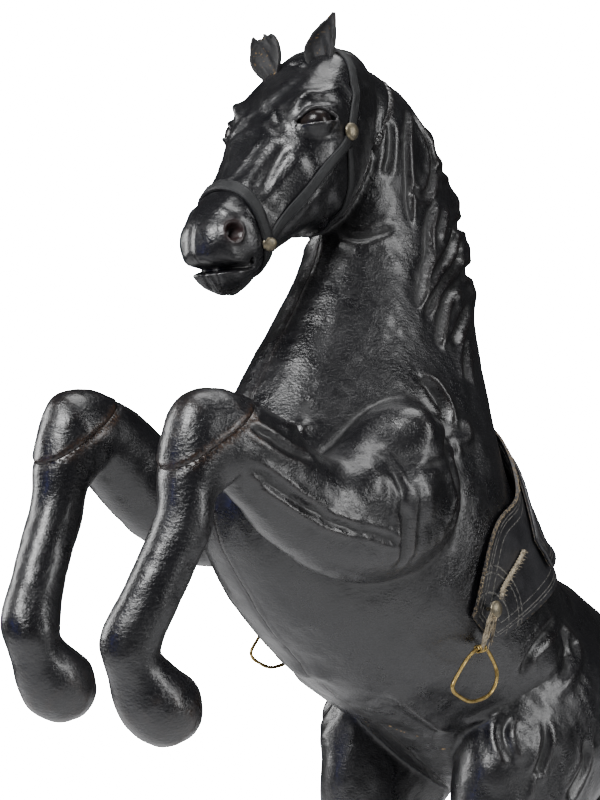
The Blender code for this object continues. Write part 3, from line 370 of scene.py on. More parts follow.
def stroke_frame(points, normals, places):
    """For each point near a stroke: how far off it, which side of it, and how far along it."""
    places = np.asarray(places, float)
    best = np.full(len(points), 1e9)
    side = np.zeros(len(points))
    along = np.full(len(points), 0.5)
    if len(places) == 1:
        return np.linalg.norm(points - places[0], axis=1), side, along
    lengths = np.linalg.norm(np.diff(places, axis=0), axis=1)
    begun = np.concatenate(([0], np.cumsum(lengths)))
    for k, (start, run) in enumerate(zip(places[:-1], np.diff(places, axis=0))):
        t = np.clip((points - start) @ run / (run @ run), 0, 1)
        away = points - (start + t[:, None] * run)
        distance = np.linalg.norm(away, axis=1)
        nearer = distance < best
        best = np.where(nearer, distance, best)
        turn = (np.cross(normals, run) * away).sum(1)
        side = np.where(nearer, np.sign(turn), side)
        along = np.where(nearer, (begun[k] + t * lengths[k]) / begun[-1], along)
    return best, side, along


def smooth_places(places):
    """A stroke's places with more in between, on a smooth curve."""
    if len(places) < 3:
        return np.asarray(places, float)
    return smooth_through(places, np.linspace(0, len(places) - 1, 4 * len(places) - 3))


def stroke_height(kind, width, distance, side, along):
    """Height of a stroke's section, for a height of one."""
    d = distance / width
    if kind == "dab":
        return np.exp(-d ** 2)
    ends = np.clip(np.minimum(along, 1 - along) * 5 + 0.15, 0, 1)
    ends = ends * ends * (3 - 2 * ends)
    if kind == "ridge":
        return ends * np.exp(-d ** 2)
    if kind == "crease":
        return ends * (0.4 * np.exp(-((d - 2.0) ** 2)) - np.exp(-d ** 2))
    signed = d * side                                         # a lap
    return ends * np.where(signed > 0, np.exp(-signed * 0.7) * (1 - np.exp(-signed * 6)),
                           -0.8 * np.exp(signed * 1.2) * (1 - np.exp(signed * 6)))


def press(points, normals, stroke):
    """Works one stroke and its twin on the other side into the points."""
    kind, width, height, places = stroke
    places = smooth_places(places)
    for side in (1, -1):
        mirrored = places * (side, 1, 1)
        low, high = mirrored.min(0) - 5 * width, mirrored.max(0) + 5 * width
        near = np.nonzero(((points > low) & (points < high)).all(1))[0]
        if not len(near):
            continue
        distance, hand, along = stroke_frame(points[near], normals[near], mirrored)
        rise = height * stroke_height(kind, width, distance, hand * side, along)
        facing = np.linalg.norm(normals[near], axis=1) > 0
        points[near] += normals[near] * (rise * facing)[:, None]
    return points


def ripple(points, scale, seed):
    """Smooth random heights between about -1 and 1, the same every time."""
    turn = np.random.default_rng(seed)
    total = np.zeros(len(points))
    for _ in range(24):
        wave = turn.normal(size=3)
        wave *= turn.uniform(0.6, 1.6) / np.linalg.norm(wave)
        total += np.sin(points @ wave * 2 * np.pi / scale + turn.uniform(0, 6.28))
    return total / 5


# the eyes, from the glass balls' places: corners of the left lids, front and rear
eye_low, eye_high = (np.array(v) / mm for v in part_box("eye_left"))
eye_centre = (eye_low + eye_high) / 2
eye_radius = 7.5
eye_front, eye_rear = np.array((20.2, -103.2, 548.4)), np.array((30.0, -87.0, 551.5))
eye_out = np.array((0.80, -0.52, 0.29))
nostril = np.array((14.7, -137.9, 497.8))
mouth_corner = np.array((14.3, -126.0, 485.9))


def open_eyes(points):
    """Raises the lids over the eyeballs and leaves them open in an almond."""
    for side in (1, -1):
        flip = np.array((side, 1, 1))
        out = eye_out / np.linalg.norm(eye_out)
        length = eye_rear - eye_front
        length -= out * (length @ out)
        half = np.linalg.norm(length) / 2
        length /= 2 * half
        across = np.cross(out, length)
        across *= np.sign(across[2])
        local = points * flip - eye_centre
        u, v, w = local @ length, local @ across, local @ out
        near = np.abs(local).max(1) < 22
        lid = near & (np.hypot(u, v * 1.25) < 11.5) & (w > -4)
        reach = np.clip(1 - (np.hypot(u / 11.5, v * 1.25 / 11.5)), 0, 1)
        cover = np.sqrt(np.clip((eye_radius + 1.1) ** 2 - u * u - v * v, 0, None))
        lift = np.clip(cover - w, 0, None) * np.clip(reach * 3.2, 0, 1)
        points[lid] += (out * flip) * lift[lid][:, None]
        almond = (3.3 + 0.5 * (v > 0)) * (1 - np.clip(np.abs(u) / (half + 0.2), 0, 1) ** 2.2)
        inside = np.clip((almond - np.abs(v - 0.3)) / 1.0, 0, 1)
        sink = inside * inside * (3 - 2 * inside) * 4.2
        points[lid] -= (out * flip) * sink[lid][:, None]
        rim = np.exp(-((np.abs(v - 0.3) - almond - 0.9) / 0.8) ** 2) * (np.abs(u) < half + 1.5)
        points[lid] += (out * flip) * (0.55 * rim[lid])[:, None]
    return points


def hollow(points, normals, places, radius, depth, rim):
    """A pit with a raised rim on both sides: nostrils and the holes of the lips."""
    for side in (1, -1):
        distance = np.linalg.norm(points - places * (side, 1, 1), axis=1) / radius
        near = distance < 4
        rise = rim * np.exp(-((distance - 1.25) / 0.4) ** 2) - depth * np.exp(-distance ** 4)
        points[near] += normals[near] * rise[near][:, None]
    return points


def open_mouth(points):
    """Parts the lips with a slot that closes at the corners."""
    lips_y, corner_y, line_z = -150.0, -123.5, 484.0
    depth = np.clip((corner_y - points[:, 1]) / (corner_y - lips_y), 0, 1)
    line = line_z - 2.2 * depth
    gap = 2.0 * np.sqrt(depth)
    near = (points[:, 1] < corner_y) & (np.abs(points[:, 2] - line) < 8) & (np.abs(points[:, 0]) < 20)
    offset = points[:, 2] - line
    squeeze = np.exp(-(offset / np.maximum(gap, 0.3)) ** 2) * (depth > 0.01)
    middle = np.stack((np.zeros(len(points)), np.full(len(points), -128.0), line), 1)
    inward = middle - points
    inward[:, 2] = 0
    inward /= np.maximum(np.linalg.norm(inward, axis=1, keepdims=True), 1e-6)
    points[near] += inward[near] * (squeeze[near] * (2.0 + 7.0 * depth[near]))[:, None]
    return points


def work_hide(points, edges, mesh, finish):
    """All the folds of the hide pressed into a mesh's points."""
    set_points(mesh, points)
    normals = normals_of(mesh)
    for stroke in strokes:
        if stroke[0] == "dab" and stroke[1] > 5:
            points = press(points, normals, stroke)
    set_points(mesh, points)
    normals = normals_of(mesh)
    for stroke in strokes:
        if not (stroke[0] == "dab" and stroke[1] > 5):
            points = press(points, normals, stroke)
    points += normals * (0.22 * ripple(points, 26, 3) + 0.10 * ripple(points, 9, 5))[:, None]
    points = eased(points, edges, finish)
    set_points(mesh, points)
    return points


points = work_hide(points, edges, block.data, 2)


# The hide is put on in panels, each wetted and glued on its own: head, both halves of the body,
# the four lower legs and the tail. They butt in pressed seams.
seams = (
    # a place on the seam, the way across it, and the box it stays in
    ("jaw", (0, -42, 560), (0, -0.888, 0.46), (-60, -90, 494), (60, 20, 620)),
    ("knee_left", (38.6, -198, 400), (0, 0.55, -0.835), (5, -245, 360), (75, -125, 450)),
    ("knee_right", (-38.6, -198, 400), (0, 0.55, -0.835), (-75, -245, 360), (-5, -125, 450)),
    ("stifle_left", (43, 33, 188), (0, 0.12, -0.99), (5, -60, 150), (90, 125, 226)),
    ("stifle_right", (-43, 33, 188), (0, 0.12, -0.99), (-90, -60, 150), (-5, 125, 226)),
    ("dock", (0, 172, 242), (0, 0.93, -0.37), (-26, 150, 205), (26, 200, 275)),
)


def in_box(points, low, high):
    return ((points > np.array(low)) & (points < np.array(high))).all(1)


def seamed(points, normals):
    """The seams pressed in, each with a slight lip where the upper panel ends."""
    for name, place, square, low, high in seams:
        off = (points - place) @ (np.array(square) / np.linalg.norm(square))
        near = in_box(points, low, high) & (np.abs(off) < 6)
        rise = 0.35 * np.exp(-((off + 1.9) / 1.0) ** 2) - 0.85 * np.exp(-(off / 0.9) ** 2)
        points[near] += normals[near] * rise[near][:, None]
    off = points[:, 0]
    near = (np.abs(off) < 6) & (points[:, 2] < 500) & (points[:, 1] < 160)
    rise = 0.45 * np.exp(-((off - 1.8) / 1.0) ** 2) - 0.6 * np.exp(-(off / 0.9) ** 2)
    points[near] += normals[near] * rise[near][:, None]
    return points


def closed_up(shell):
    """Fills a panel's open rims, so each is a closed solid."""
    rims = [e for e in shell.edges if e.is_boundary]
    bmesh.ops.holes_fill(shell, edges=rims, sides=0)
    bmesh.ops.triangulate(shell, faces=[f for f in shell.faces if len(f.verts) > 4])
    bmesh.ops.recalc_face_normals(shell, faces=shell.faces)


def panel_from(faces_of, name):
    """A new closed piece from some faces of a mesh."""
    lookup = {}
    points, faces = [], []
    for face in faces_of:
        for vert in face.verts:
            if vert.index not in lookup:
                lookup[vert.index] = len(points)
                points.append(vert.co[:])
        faces.append([lookup[vert.index] for vert in face.verts])
    mesh = bpy.data.meshes.new(name)
    mesh.from_pydata(points, [], faces)
    shell = bmesh.new()
    shell.from_mesh(mesh)
    closed_up(shell)
    shell.to_mesh(mesh)
    shell.free()
    mesh.shade_smooth()
    panel = bpy.data.objects.new(name, mesh)
    bpy.context.scene.collection.objects.link(panel)
    return panel


def cut_through(shell, place, square, low=(-1e3,) * 3, high=(1e3,) * 3):
    """Cuts a seam into the faces inside a box and parts the mesh along it."""
    faces = [f for f in shell.faces
             if all(a < c / mm < b for a, c, b in zip(low, f.calc_center_median(), high))]
    geometry = set(faces)
    for face in faces:
        geometry.update(face.verts)
        geometry.update(face.edges)
    result = bmesh.ops.bisect_plane(shell, geom=list(geometry), plane_co=Vector(place) * mm,
                                    plane_no=Vector(square), dist=1e-7)
    line = [e for e in result["geom_cut"] if isinstance(e, bmesh.types.BMEdge)]
    bmesh.ops.split_edges(shell, edges=line)


def panels_of(shell):
    """The parts of a mesh that no longer touch."""
    shell.verts.index_update()
    seen, groups = set(), []
    for start in shell.faces:
        if start in seen:
            continue
        group, waiting = [], [start]
        seen.add(start)
        while waiting:
            face = waiting.pop()
            group.append(face)
            for edge in face.edges:
                for other in edge.link_faces:
                    if other not in seen:
                        seen.add(other)
                        waiting.append(other)
        groups.append(group)
    return [g for g in groups if len(g) > 200]


set_points(block.data, points)
points = seamed(points, normals_of(block.data))
set_points(block.data, points)
shell = bmesh.new()
shell.from_mesh(block.data)
for name, place, square, low, high in seams:
    cut_through(shell, place, square, low, high)
hides = {}
for group in panels_of(shell):
    middle = sum((f.calc_center_median() for f in group), Vector()) / len(group) / mm
    side = "left" if middle.x > 0 else "right"
    if middle.z > 500:
        name = "head_hide"
    elif middle.y < -160:
        name = f"lower_foreleg_hide_{side}"
    elif middle.y > 160:
        name = "tail_hide"
    elif middle.z < 160:
        name = f"lower_hindleg_hide_{side}"
    else:
        name = "body_hide"
    hides[name] = panel_from(group, name)
shell.free()
bpy.data.objects.remove(block)

shell = bmesh.new()
shell.from_mesh(hides["body_hide"].data)
cut_through(shell, (0, 0, 0), (1, 0, 0))
for group in panels_of(shell):
    side = "left" if sum(f.calc_center_median().x for f in group) > 0 else "right"
    hides[f"body_hide_{side}"] = panel_from(group, f"body_hide_{side}")
shell.free()
bpy.data.objects.remove(hides.pop("body_hide"))

head = hides["head_hide"]
worked(head, 'SUBSURF', levels=1, render_levels=1)
head_points = points_of(head.data)
head_points = open_eyes(head_points)
head_points = open_mouth(head_points)
set_points(head.data, head_points)
head_points = hollow(head_points, normals_of(head.data), nostril, 3.4, 5.0, 1.0)
head_points = hollow(head_points, normals_of(head.data), mouth_corner, 1.5, 2.4, 0.4)
head_points = eased(head_points, edges_of(head.data), 1)
set_points(head.data, head_points)


# THE BLACK LEATHER
# Vegetable-tanned hide, dyed black and polished. Its fine grain shows wherever light glances off,
# and handling has rubbed the high edges of the knees and hooves brown.
cracks = (
    (0.5, ((5.9, -28.4, 271.6), (8.3, -19.7, 266.3), (13.4, -14.4, 263.7), (19, -7.7, 260.4))),
    (0.8, ((20.7, 2.2, 254.6), (25.4, 4.2, 256.2), (31.1, 4.5, 259.8), (41.9, 0.8, 262.5))),
)


def mark(mesh, name, values):
    """A number for each point of a mesh, for its leather to read."""
    layer = mesh.attributes.new(name, 'FLOAT', 'POINT')
    layer.data.foreach_set("value", np.asarray(values, np.float32))


def mark_hide(mesh):
    points, normals = points_of(mesh), normals_of(mesh)
    edges = edges_of(mesh)
    count = np.maximum(np.bincount(edges.ravel(), minlength=len(points)), 1)
    bend = np.zeros(len(points))
    for a, b in ((0, 1), (1, 0)):
        step = ((points[edges[:, b]] - points[edges[:, a]]) * normals[edges[:, a]]).sum(1)
        bend += np.bincount(edges[:, a], step, len(points))
    bend /= count
    for _ in range(3):
        bend = 0.5 * bend + 0.5 * (np.bincount(edges[:, 0], bend[edges[:, 1]], len(points))
                                   + np.bincount(edges[:, 1], bend[edges[:, 0]], len(points))) / count
    # how deep in a hollow each point lies; the leather's colour darkens there as painted shade, and it is
    # rougher there too
    mark(mesh, "hollow", np.clip(bend * 14, 0, 1))
    high = np.clip(-bend * 9 - 0.25, 0, 1)
    knees = np.exp(-((points[:, 2] - 418) / 16) ** 2) * (points[:, 1] < -165)
    toes = (np.clip((330 - points[:, 2]) / 30, 0, 1) * (points[:, 1] < -150)
            + np.clip((26 - points[:, 2]) / 20, 0, 1))
    mark(mesh, "rub", np.clip(high * (0.06 + 0.45 * knees + 0.8 * toes), 0, 1))
    bare = np.zeros(len(points))
    for width, places in cracks:
        for side in (1, -1):
            distance, _, along = stroke_frame(points, normals, smooth_places(places) * (side, 1, 1))
            bare = np.maximum(bare, np.exp(-(distance / width) ** 2))
    mark(mesh, "bare", bare)
    nose = np.linalg.norm(points - nostril, axis=1)
    other = np.linalg.norm(points * (-1, 1, 1) - nostril, axis=1)
    mark(mesh, "flesh", np.exp(-((np.minimum(nose, other) - 3.8) / 1.6) ** 2))


class Finish:
    """A material under construction, its nodes added one at a time."""

    def __init__(self, name):
        self.material = bpy.data.materials.new(name)
        self.material.use_nodes = True
        self.nodes = self.material.node_tree.nodes
        self.links = self.material.node_tree.links
        self.shader = self.nodes["Principled BSDF"]

    def set(self, **values):
        for key, value in values.items():
            self.shader.inputs[key.replace("_", " ")].default_value = value

    def node(self, kind, inputs=None, **settings):
        node = self.nodes.new(kind)
        for key, value in settings.items():
            setattr(node, key, value)
        for key, value in (inputs or {}).items():
            if isinstance(value, bpy.types.NodeSocket):
                self.links.new(value, node.inputs[key])
            else:
                node.inputs[key].default_value = value
        return node

    def place(self, stretch=(1, 1, 1), turn=(0, 0, 0)):
        """Object coordinates in millimetres."""
        coordinate = self.node("ShaderNodeTexCoord")
        mapping = self.node("ShaderNodeMapping", {"Vector": coordinate.outputs["Object"]})
        mapping.inputs["Scale"].default_value = [1000 * s for s in stretch]
        mapping.inputs["Rotation"].default_value = turn
        return mapping.outputs["Vector"]

    def noise(self, size, detail=3.0, rough=0.55, place=None, warp=0.0):
        node = self.node("ShaderNodeTexNoise", {"Vector": place or self.place(), "Scale": 1 / size,
                                                "Detail": detail, "Roughness": rough,
                                                "Distortion": warp})
        return node.outputs["Fac"]

    def cells(self, size, feature='F1', place=None, out="Distance"):
        node = self.node("ShaderNodeTexVoronoi", {"Vector": place or self.place(), "Scale": 1 / size},
                         feature=feature)
        return node.outputs[out]

    def attribute(self, name):
        return self.node("ShaderNodeAttribute", attribute_name=name).outputs["Fac"]

    def ramp(self, value, low, high, to_low=0.0, to_high=1.0):
        return self.node("ShaderNodeMapRange", {"Value": value, "From Min": low, "From Max": high,
                                                "To Min": to_low, "To Max": to_high}).outputs["Result"]

    def maths(self, operation, a, b=0.5):
        return self.node("ShaderNodeMath", {0: a, 1: b}, operation=operation).outputs[0]

    def blend(self, share, first, second):
        node = self.node("ShaderNodeMix", data_type='RGBA')
        for socket, value in ((0, share), (6, first), (7, second)):
            if isinstance(value, bpy.types.NodeSocket):
                self.links.new(value, node.inputs[socket])
            else:
                node.inputs[socket].default_value = value
        return node.outputs[2]

    def bump(self, height, distance, strength=1.0, under=None):
        node = self.node("ShaderNodeBump", {"Height": height, "Distance": distance * mm,
                                            "Strength": strength})
        if under is not None:
            self.links.new(under, node.inputs["Normal"])
        return node.outputs["Normal"]

    def to_shader(self, **sockets):
        for key, socket in sockets.items():
            self.links.new(socket, self.shader.inputs[key.replace("_", " ")])
        return self.material


def make_black_leather():
    leather = Finish("black_leather")
    leather.set(IOR=1.5, Specular_IOR_Level=0.55, Coat_Weight=0.22, Coat_Roughness=0.18,
                Sheen_Weight=0.0)
    cloud = leather.noise(34, 4, 0.6)
    speck = leather.noise(1.1, 2, 0.6)
    rub, hollow_, bare, flesh = (leather.attribute(n) for n in ("rub", "hollow", "bare", "flesh"))
    colour = leather.blend(leather.ramp(cloud, 0.35, 0.7), (0.0035, 0.0035, 0.0045, 1),
                           (0.0070, 0.0070, 0.0085, 1))
    # painted shade: the leather's colour goes darker in the hollows and creases of the hide
    colour = leather.blend(leather.maths('MULTIPLY', hollow_, 0.5), colour, (0.003, 0.003, 0.003, 1))
    worn = leather.maths('MULTIPLY', leather.ramp(speck, 0.35, 0.6), rub)
    colour = leather.blend(worn, colour, (0.075, 0.040, 0.022, 1))
    colour = leather.blend(leather.maths('MULTIPLY', flesh, 0.15), colour, (0.09, 0.028, 0.02, 1))
    ragged = leather.ramp(leather.maths('ADD', bare, leather.ramp(speck, 0, 1, -0.35, 0.35)),
                          0.5, 0.75)
    colour = leather.blend(ragged, colour, (0.42, 0.27, 0.11, 1))
    rough = leather.ramp(leather.noise(22, 5, 0.65), 0.3, 0.75, 0.22, 0.42)
    rough = leather.maths('ADD', rough, leather.maths('MULTIPLY', hollow_, 0.2))
    rough = leather.maths('ADD', rough, leather.maths('MULTIPLY', bare, 0.3))
    pores = leather.cells(0.95, 'SMOOTH_F1')
    grain = leather.bump(pores, 0.20, 0.55)
    creases = leather.noise(2.6, 4, 0.65, leather.place((1, 1, 2.2), (0.4, 0.2, 0)), 0.6)
    grain = leather.bump(creases, 0.55, 0.5, grain)
    swell = leather.noise(13, 3, 0.5)
    grain = leather.bump(swell, 1.2, 0.45, grain)
    return leather.to_shader(Base_Color=colour, Roughness=rough, Normal=grain)


black_leather = make_black_leather()
stands_for = {
    "head_hide": ("head_core", "head_leather", "head_dowel", "forelock"),
    "body_hide_left": ("trunk_core", "neck_core", "trunk_leather_left", "neck_leather_left",
                       "upper_foreleg_core_left", "upper_foreleg_leather_left", "thigh_core_left",
                       "thigh_leather_left", "mane", "neck_dowel", "shoulder_dowel_left",
                       "hip_dowel_left", "tail_dowel"),
    "body_hide_right": ("trunk_leather_right", "neck_leather_right", "upper_foreleg_core_right",
                        "upper_foreleg_leather_right", "thigh_core_right", "thigh_leather_right",
                        "shoulder_dowel_right", "hip_dowel_right"),
    "tail_hide": ("tail_core", "tail_leather"),
}
for side in ("left", "right"):
    for limb in ("lower_foreleg", "lower_hindleg"):
        stands_for[f"{limb}_hide_{side}"] = (f"{limb}_core_{side}", f"{limb}_leather_{side}")
for name, hide in hides.items():
    mark_hide(hide.data)
    hide.data.materials.clear()
    hide.data.materials.append(black_leather)
    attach(hide, "horse")
    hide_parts(*stands_for[name])


# THE EARS
# Two leaves cut from thick leather, cupped and nailed in behind the brow. The left one is whole,
# and the right one has lost its tip.
ear_left_edge = ((-3, -4.6), (0, -6.0), (4, -6.9), (8, -5.8), (12, -3.4), (16, 0.2), (19, 3.4), (21.5, 5.2))
ear_right_edge = ((-3, 4.6), (0, 6.0), (4, 6.6), (8, 7.0), (12, 7.0), (16, 6.7), (19, 6.3), (21.5, 5.8))
torn_left_edge = ((-3, -3.2), (0, -4.4), (3, -6.4), (7, -7.6), (11, -7.4), (15, -6.2), (17.5, -5.0),
                  (18.5, -4.2))
torn_right_edge = ((-3, 3.0), (0, 4.4), (3, 6.0), (7, 7.2), (11, 7.8), (15, 7.4), (17.5, 6.4), (18.5, 5.0))
leaf_rows, leaf_columns = 34, 22


def make_ear(name, base, up, across, left_edge, right_edge, torn, lean):
    up, across = np.array(up, float), np.array(across, float)
    up /= np.linalg.norm(up)
    across -= up * (across @ up)
    across /= np.linalg.norm(across)
    facing = np.cross(across, up)
    steps = np.linspace(0, len(left_edge) - 1, leaf_rows)
    left, right = smooth_through(left_edge, steps), smooth_through(right_edge, steps)
    v = np.linspace(-1, 1, leaf_columns)[None, :]
    rise = np.broadcast_to(left[:, :1], (leaf_rows, leaf_columns)).copy()
    half = (right[:, 1:] - left[:, 1:]) / 2
    across_at = (right[:, 1:] + left[:, 1:]) / 2 + half * v
    if torn:
        rise += (np.linspace(0, 1, leaf_rows)[:, None] ** 6
                 * (1.3 * np.sin(v * 5.5 + 0.6) + 0.7 * np.sin(v * 13)))
    cup = -(1 - v ** 2) * half * 0.42 + lean * (rise / 20) ** 2
    cup += 0.25 * np.sin(across_at * 1.1 + rise * 0.5)
    points = (np.asarray(base) + rise[..., None] * up + across_at[..., None] * across
              + cup[..., None] * facing)
    piece = new_piece(name, points.reshape(-1, 3), grid_faces(leaf_rows, leaf_columns, False))
    worked(piece, 'SOLIDIFY', thickness=1.7 * mm, offset=0)
    worked(piece, 'BEVEL', width=0.45 * mm, segments=2, limit_method='ANGLE')
    return piece


def make_ear_leather():
    leather = Finish("ear_leather")
    leather.set(IOR=1.45)
    speck = leather.noise(1.4, 3, 0.7)
    cloud = leather.noise(7, 3, 0.6)
    colour = leather.blend(leather.ramp(cloud, 0.35, 0.7), (0.006, 0.006, 0.007, 1), (0.015, 0.015, 0.016, 1))
    fleck = leather.maths('MULTIPLY', leather.ramp(speck, 0.60, 0.68), leather.ramp(cloud, 0.5, 0.6))
    colour = leather.blend(fleck, colour, (0.33, 0.20, 0.07, 1))
    rough = leather.ramp(cloud, 0.3, 0.7, 0.5, 0.72)
    normal = leather.bump(leather.noise(2.0, 5, 0.7), 0.5, 0.6)
    normal = leather.bump(leather.noise(5.0, 3, 0.6, leather.place((1, 1, 0.5))), 0.9, 0.5, normal)
    return leather.to_shader(Base_Color=colour, Roughness=rough, Normal=normal)


ear_leather = make_ear_leather()
ears = {
    "left": make_ear("ear_left_leaf", (11.8, -80.5, 581.0), (0.10, 0.02, 1), (0.90, 0.43, 0),
                     ear_left_edge, ear_right_edge, False, 0.6),
    "right": make_ear("ear_right_leaf", (-13.2, -86.0, 577.0), (-0.24, -0.12, 1), (0.93, 0.36, 0),
                      torn_left_edge, torn_right_edge, True, -1.2),
}
for side, ear in ears.items():
    ear.data.materials.append(ear_leather)
    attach(ear, "horse")
    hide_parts(f"ear_{side}")


# THE EYES
# Polished dark glass balls set in sockets under the lids, their dark tone faintly mottled.
def make_eye_glass():
    glass = Finish("eye_glass")
    glass.set(Roughness=0.24, IOR=1.4, Specular_IOR_Level=0.35)
    cloud = glass.noise(3.5, 3, 0.6)
    colour = glass.blend(glass.ramp(cloud, 0.35, 0.7), (0.006, 0.005, 0.006, 1), (0.020, 0.015, 0.013, 1))
    normal = glass.bump(glass.noise(2.2, 2, 0.5), 0.05, 0.2)
    return glass.to_shader(Base_Color=colour, Normal=normal)


eye_glass = make_eye_glass()


def round_grid(middle, radius, rings=32, around=48, shape=None):
    """A ball's points and faces; shape changes the radius with direction."""
    points, faces = [], []
    for r in range(1, rings):
        tilt = math.pi * r / rings
        for c in range(around):
            turn = 2 * math.pi * c / around
            out = np.array((math.sin(tilt) * math.cos(turn), math.sin(tilt) * math.sin(turn), math.cos(tilt)))
            points.append(middle + out * radius * (shape(out) if shape else 1))
    faces.extend(grid_faces(rings - 1, around, True))
    for pole, start in ((1, 0), (-1, (rings - 2) * around)):
        out = np.array((0, 0, pole))
        points.append(middle + out * radius * (shape(out) if shape else 1))
        top = len(points) - 1
        faces.extend((start + c, top, start + (c + 1) % around) for c in range(around))
    return points, faces


for side, name in ((1, "left"), (-1, "right")):
    out = eye_out / np.linalg.norm(eye_out) * (side, 1, 1)
    ball = new_piece(f"eye_ball_{name}", *round_grid(
        eye_centre * (side, 1, 1), eye_radius, shape=lambda d: 1 + 0.05 * max(d @ out, 0) ** 12))
    ball.data.materials.append(eye_glass)
    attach(ball, "horse")
    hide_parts(f"eye_{name}")


# THE BRIDLE
# Narrow matte straps cut from black leather: a noseband, a crown strap over the poll, cheek straps
# and a throat strap, held by brass nails.
def make_strap_leather():
    leather = Finish("strap_leather")
    leather.set(IOR=1.45, Specular_IOR_Level=0.4)
    cloud = leather.noise(9, 4, 0.65)
    colour = leather.blend(leather.ramp(cloud, 0.3, 0.7), (0.007, 0.007, 0.008, 1),
                           (0.020, 0.021, 0.022, 1))
    scuff = leather.ramp(leather.noise(2.4, 4, 0.7, leather.place((1, 1, 0.35))), 0.6, 0.72)
    colour = leather.blend(leather.maths('MULTIPLY', scuff, 0.45), colour, (0.045, 0.044, 0.043, 1))
    rough = leather.ramp(cloud, 0.3, 0.7, 0.52, 0.7)
    normal = leather.bump(leather.cells(0.7, 'SMOOTH_F1'), 0.12, 0.6)
    normal = leather.bump(leather.noise(2.2, 4, 0.6), 0.35, 0.5, normal)
    return leather.to_shader(Base_Color=colour, Roughness=rough, Normal=normal)


strap_leather = make_strap_leather()
hide_points, hide_faces = [], []
for hide in hides.values():
    first = len(hide_points)
    hide_points.extend(Vector(v) for v in points_of(hide.data))
    hide_faces.extend([first + v for v in p.vertices] for p in hide.data.polygons)
hide_tree = BVHTree.FromPolygons(hide_points, hide_faces)


def settled(rows, closed, passes):
    """Rows of values with each eased towards its neighbours along a strap."""
    for _ in range(passes):
        before, after = np.roll(rows, 1, 0), np.roll(rows, -1, 0)
        if not closed:
            before[0], after[-1] = rows[0], rows[-1]
        rows = 0.5 * rows + 0.25 * (before + after)
    return rows


def lay_strap(name, places, width, thickness, closed=False):
    """A flat strap with a creased line along each edge, pressed onto the hide."""
    places = np.asarray(places, float)
    count = 14 * len(places)
    if closed:
        places = np.vstack((places[-1:], places, places[:2]))
        path = smooth_through(places, np.linspace(1, len(places) - 2, count, endpoint=False))
    else:
        path = smooth_through(places, np.linspace(0, len(places) - 1, count))
    landed = [hide_tree.find_nearest(Vector(v)) for v in path]
    path = settled(np.array([hit[0] for hit in landed]), closed, 8)
    normals = settled(np.array([hit[1] for hit in landed]), closed, 16)
    normals /= np.linalg.norm(normals, axis=1, keepdims=True)
    run = np.roll(path, -1, 0) - np.roll(path, 1, 0)
    if not closed:
        run[0], run[-1] = path[1] - path[0], path[-1] - path[-2]
    side = np.cross(normals, run)
    side /= np.linalg.norm(side, axis=1, keepdims=True)
    half = [(1, 0.1), (1.01, 0.7), (0.95, 0.96), (0.84, 1.0), (0.78, 0.86), (0.72, 1.0), (0.4, 1.04),
            (0.1, 1.05)]
    section = [(-u, h) for u, h in half] + half[::-1] + [(0.5, 0.0), (-0.5, 0.0)]
    grid = np.empty((count, len(section), 3))
    for c, (u, height) in enumerate(section):
        for r in range(count):
            place, _, _, _ = hide_tree.find_nearest(Vector(path[r] + side[r] * u * width / 2))
            grid[r, c] = np.array(place) + normals[r] * (height * thickness + 0.12)
    grid = settled(grid, closed, 6)
    faces = grid_faces(count, len(section), True)
    if closed:
        last = (count - 1) * len(section)
        faces += [(last + c, last + (c + 1) % len(section), (c + 1) % len(section), c)
                  for c in range(len(section))]
    else:
        faces += [tuple(range(len(section))),
                  tuple((count - 1) * len(section) + c for c in range(len(section)))]
    strap = new_piece(name, grid.reshape(-1, 3), faces, strap_leather)
    strap.data.set_sharp_from_angle(angle=math.radians(60))
    return strap


def head_places(*rows):
    return [on_form(skull_ribs, s, angle) for s, angle in rows]


over_poll = ((2.2, 2), (1.98, 13), (1.84, 25), (1.75, 40), (1.7, 58), (1.65, 75), (1.65, 90))
under_jaw = ((2.25, -3), (2.05, -22), (1.9, -44), (1.8, -66), (1.8, -90))
crown = head_places(*over_poll)
throat = head_places(*under_jaw)
straps = {
    "noseband": lay_strap("noseband_strap", head_places(*((6.1, a) for a in range(0, 360, 20))),
                          5.6, 1.5, closed=True),
    "crown_strap": lay_strap("crown_band", crown + [v * (-1, 1, 1) for v in crown[-2::-1]], 4.6, 1.2),
    "throat_strap": lay_strap("throat_band", throat + [v * (-1, 1, 1) for v in throat[-2::-1]],
                              4.0, 1.1),
}
for side, name in ((1, "left"), (-1, "right")):
    cheek = [v * (side, 1, 1) for v in head_places((2.2, 2), (3.2, -6), (4.2, -12), (5.2, -18), (6.0, -22))]
    straps[f"cheek_strap_{name}"] = lay_strap(f"cheek_band_{name}", cheek, 4.8, 1.3)
for node, strap in straps.items():
    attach(strap, "horse")
    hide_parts(node)


# THE NAILS
# Domed brass heads, hammered, gone dull and grey-green with handling.
def make_brass():
    brass = Finish("old_brass")
    brass.set(Metallic=0.85, IOR=1.5)
    cloud = brass.noise(2.6, 4, 0.7)
    speck = brass.noise(0.9, 3, 0.7)
    colour = brass.blend(brass.ramp(cloud, 0.35, 0.68), (0.11, 0.10, 0.08, 1), (0.27, 0.23, 0.15, 1))
    colour = brass.blend(brass.ramp(speck, 0.6, 0.72), colour, (0.08, 0.07, 0.055, 1))
    rough = brass.ramp(cloud, 0.3, 0.7, 0.5, 0.34)
    normal = brass.bump(brass.noise(1.6, 3, 0.6), 0.25, 0.6)
    return brass.to_shader(Base_Color=colour, Roughness=rough, Normal=normal)


old_brass = make_brass()


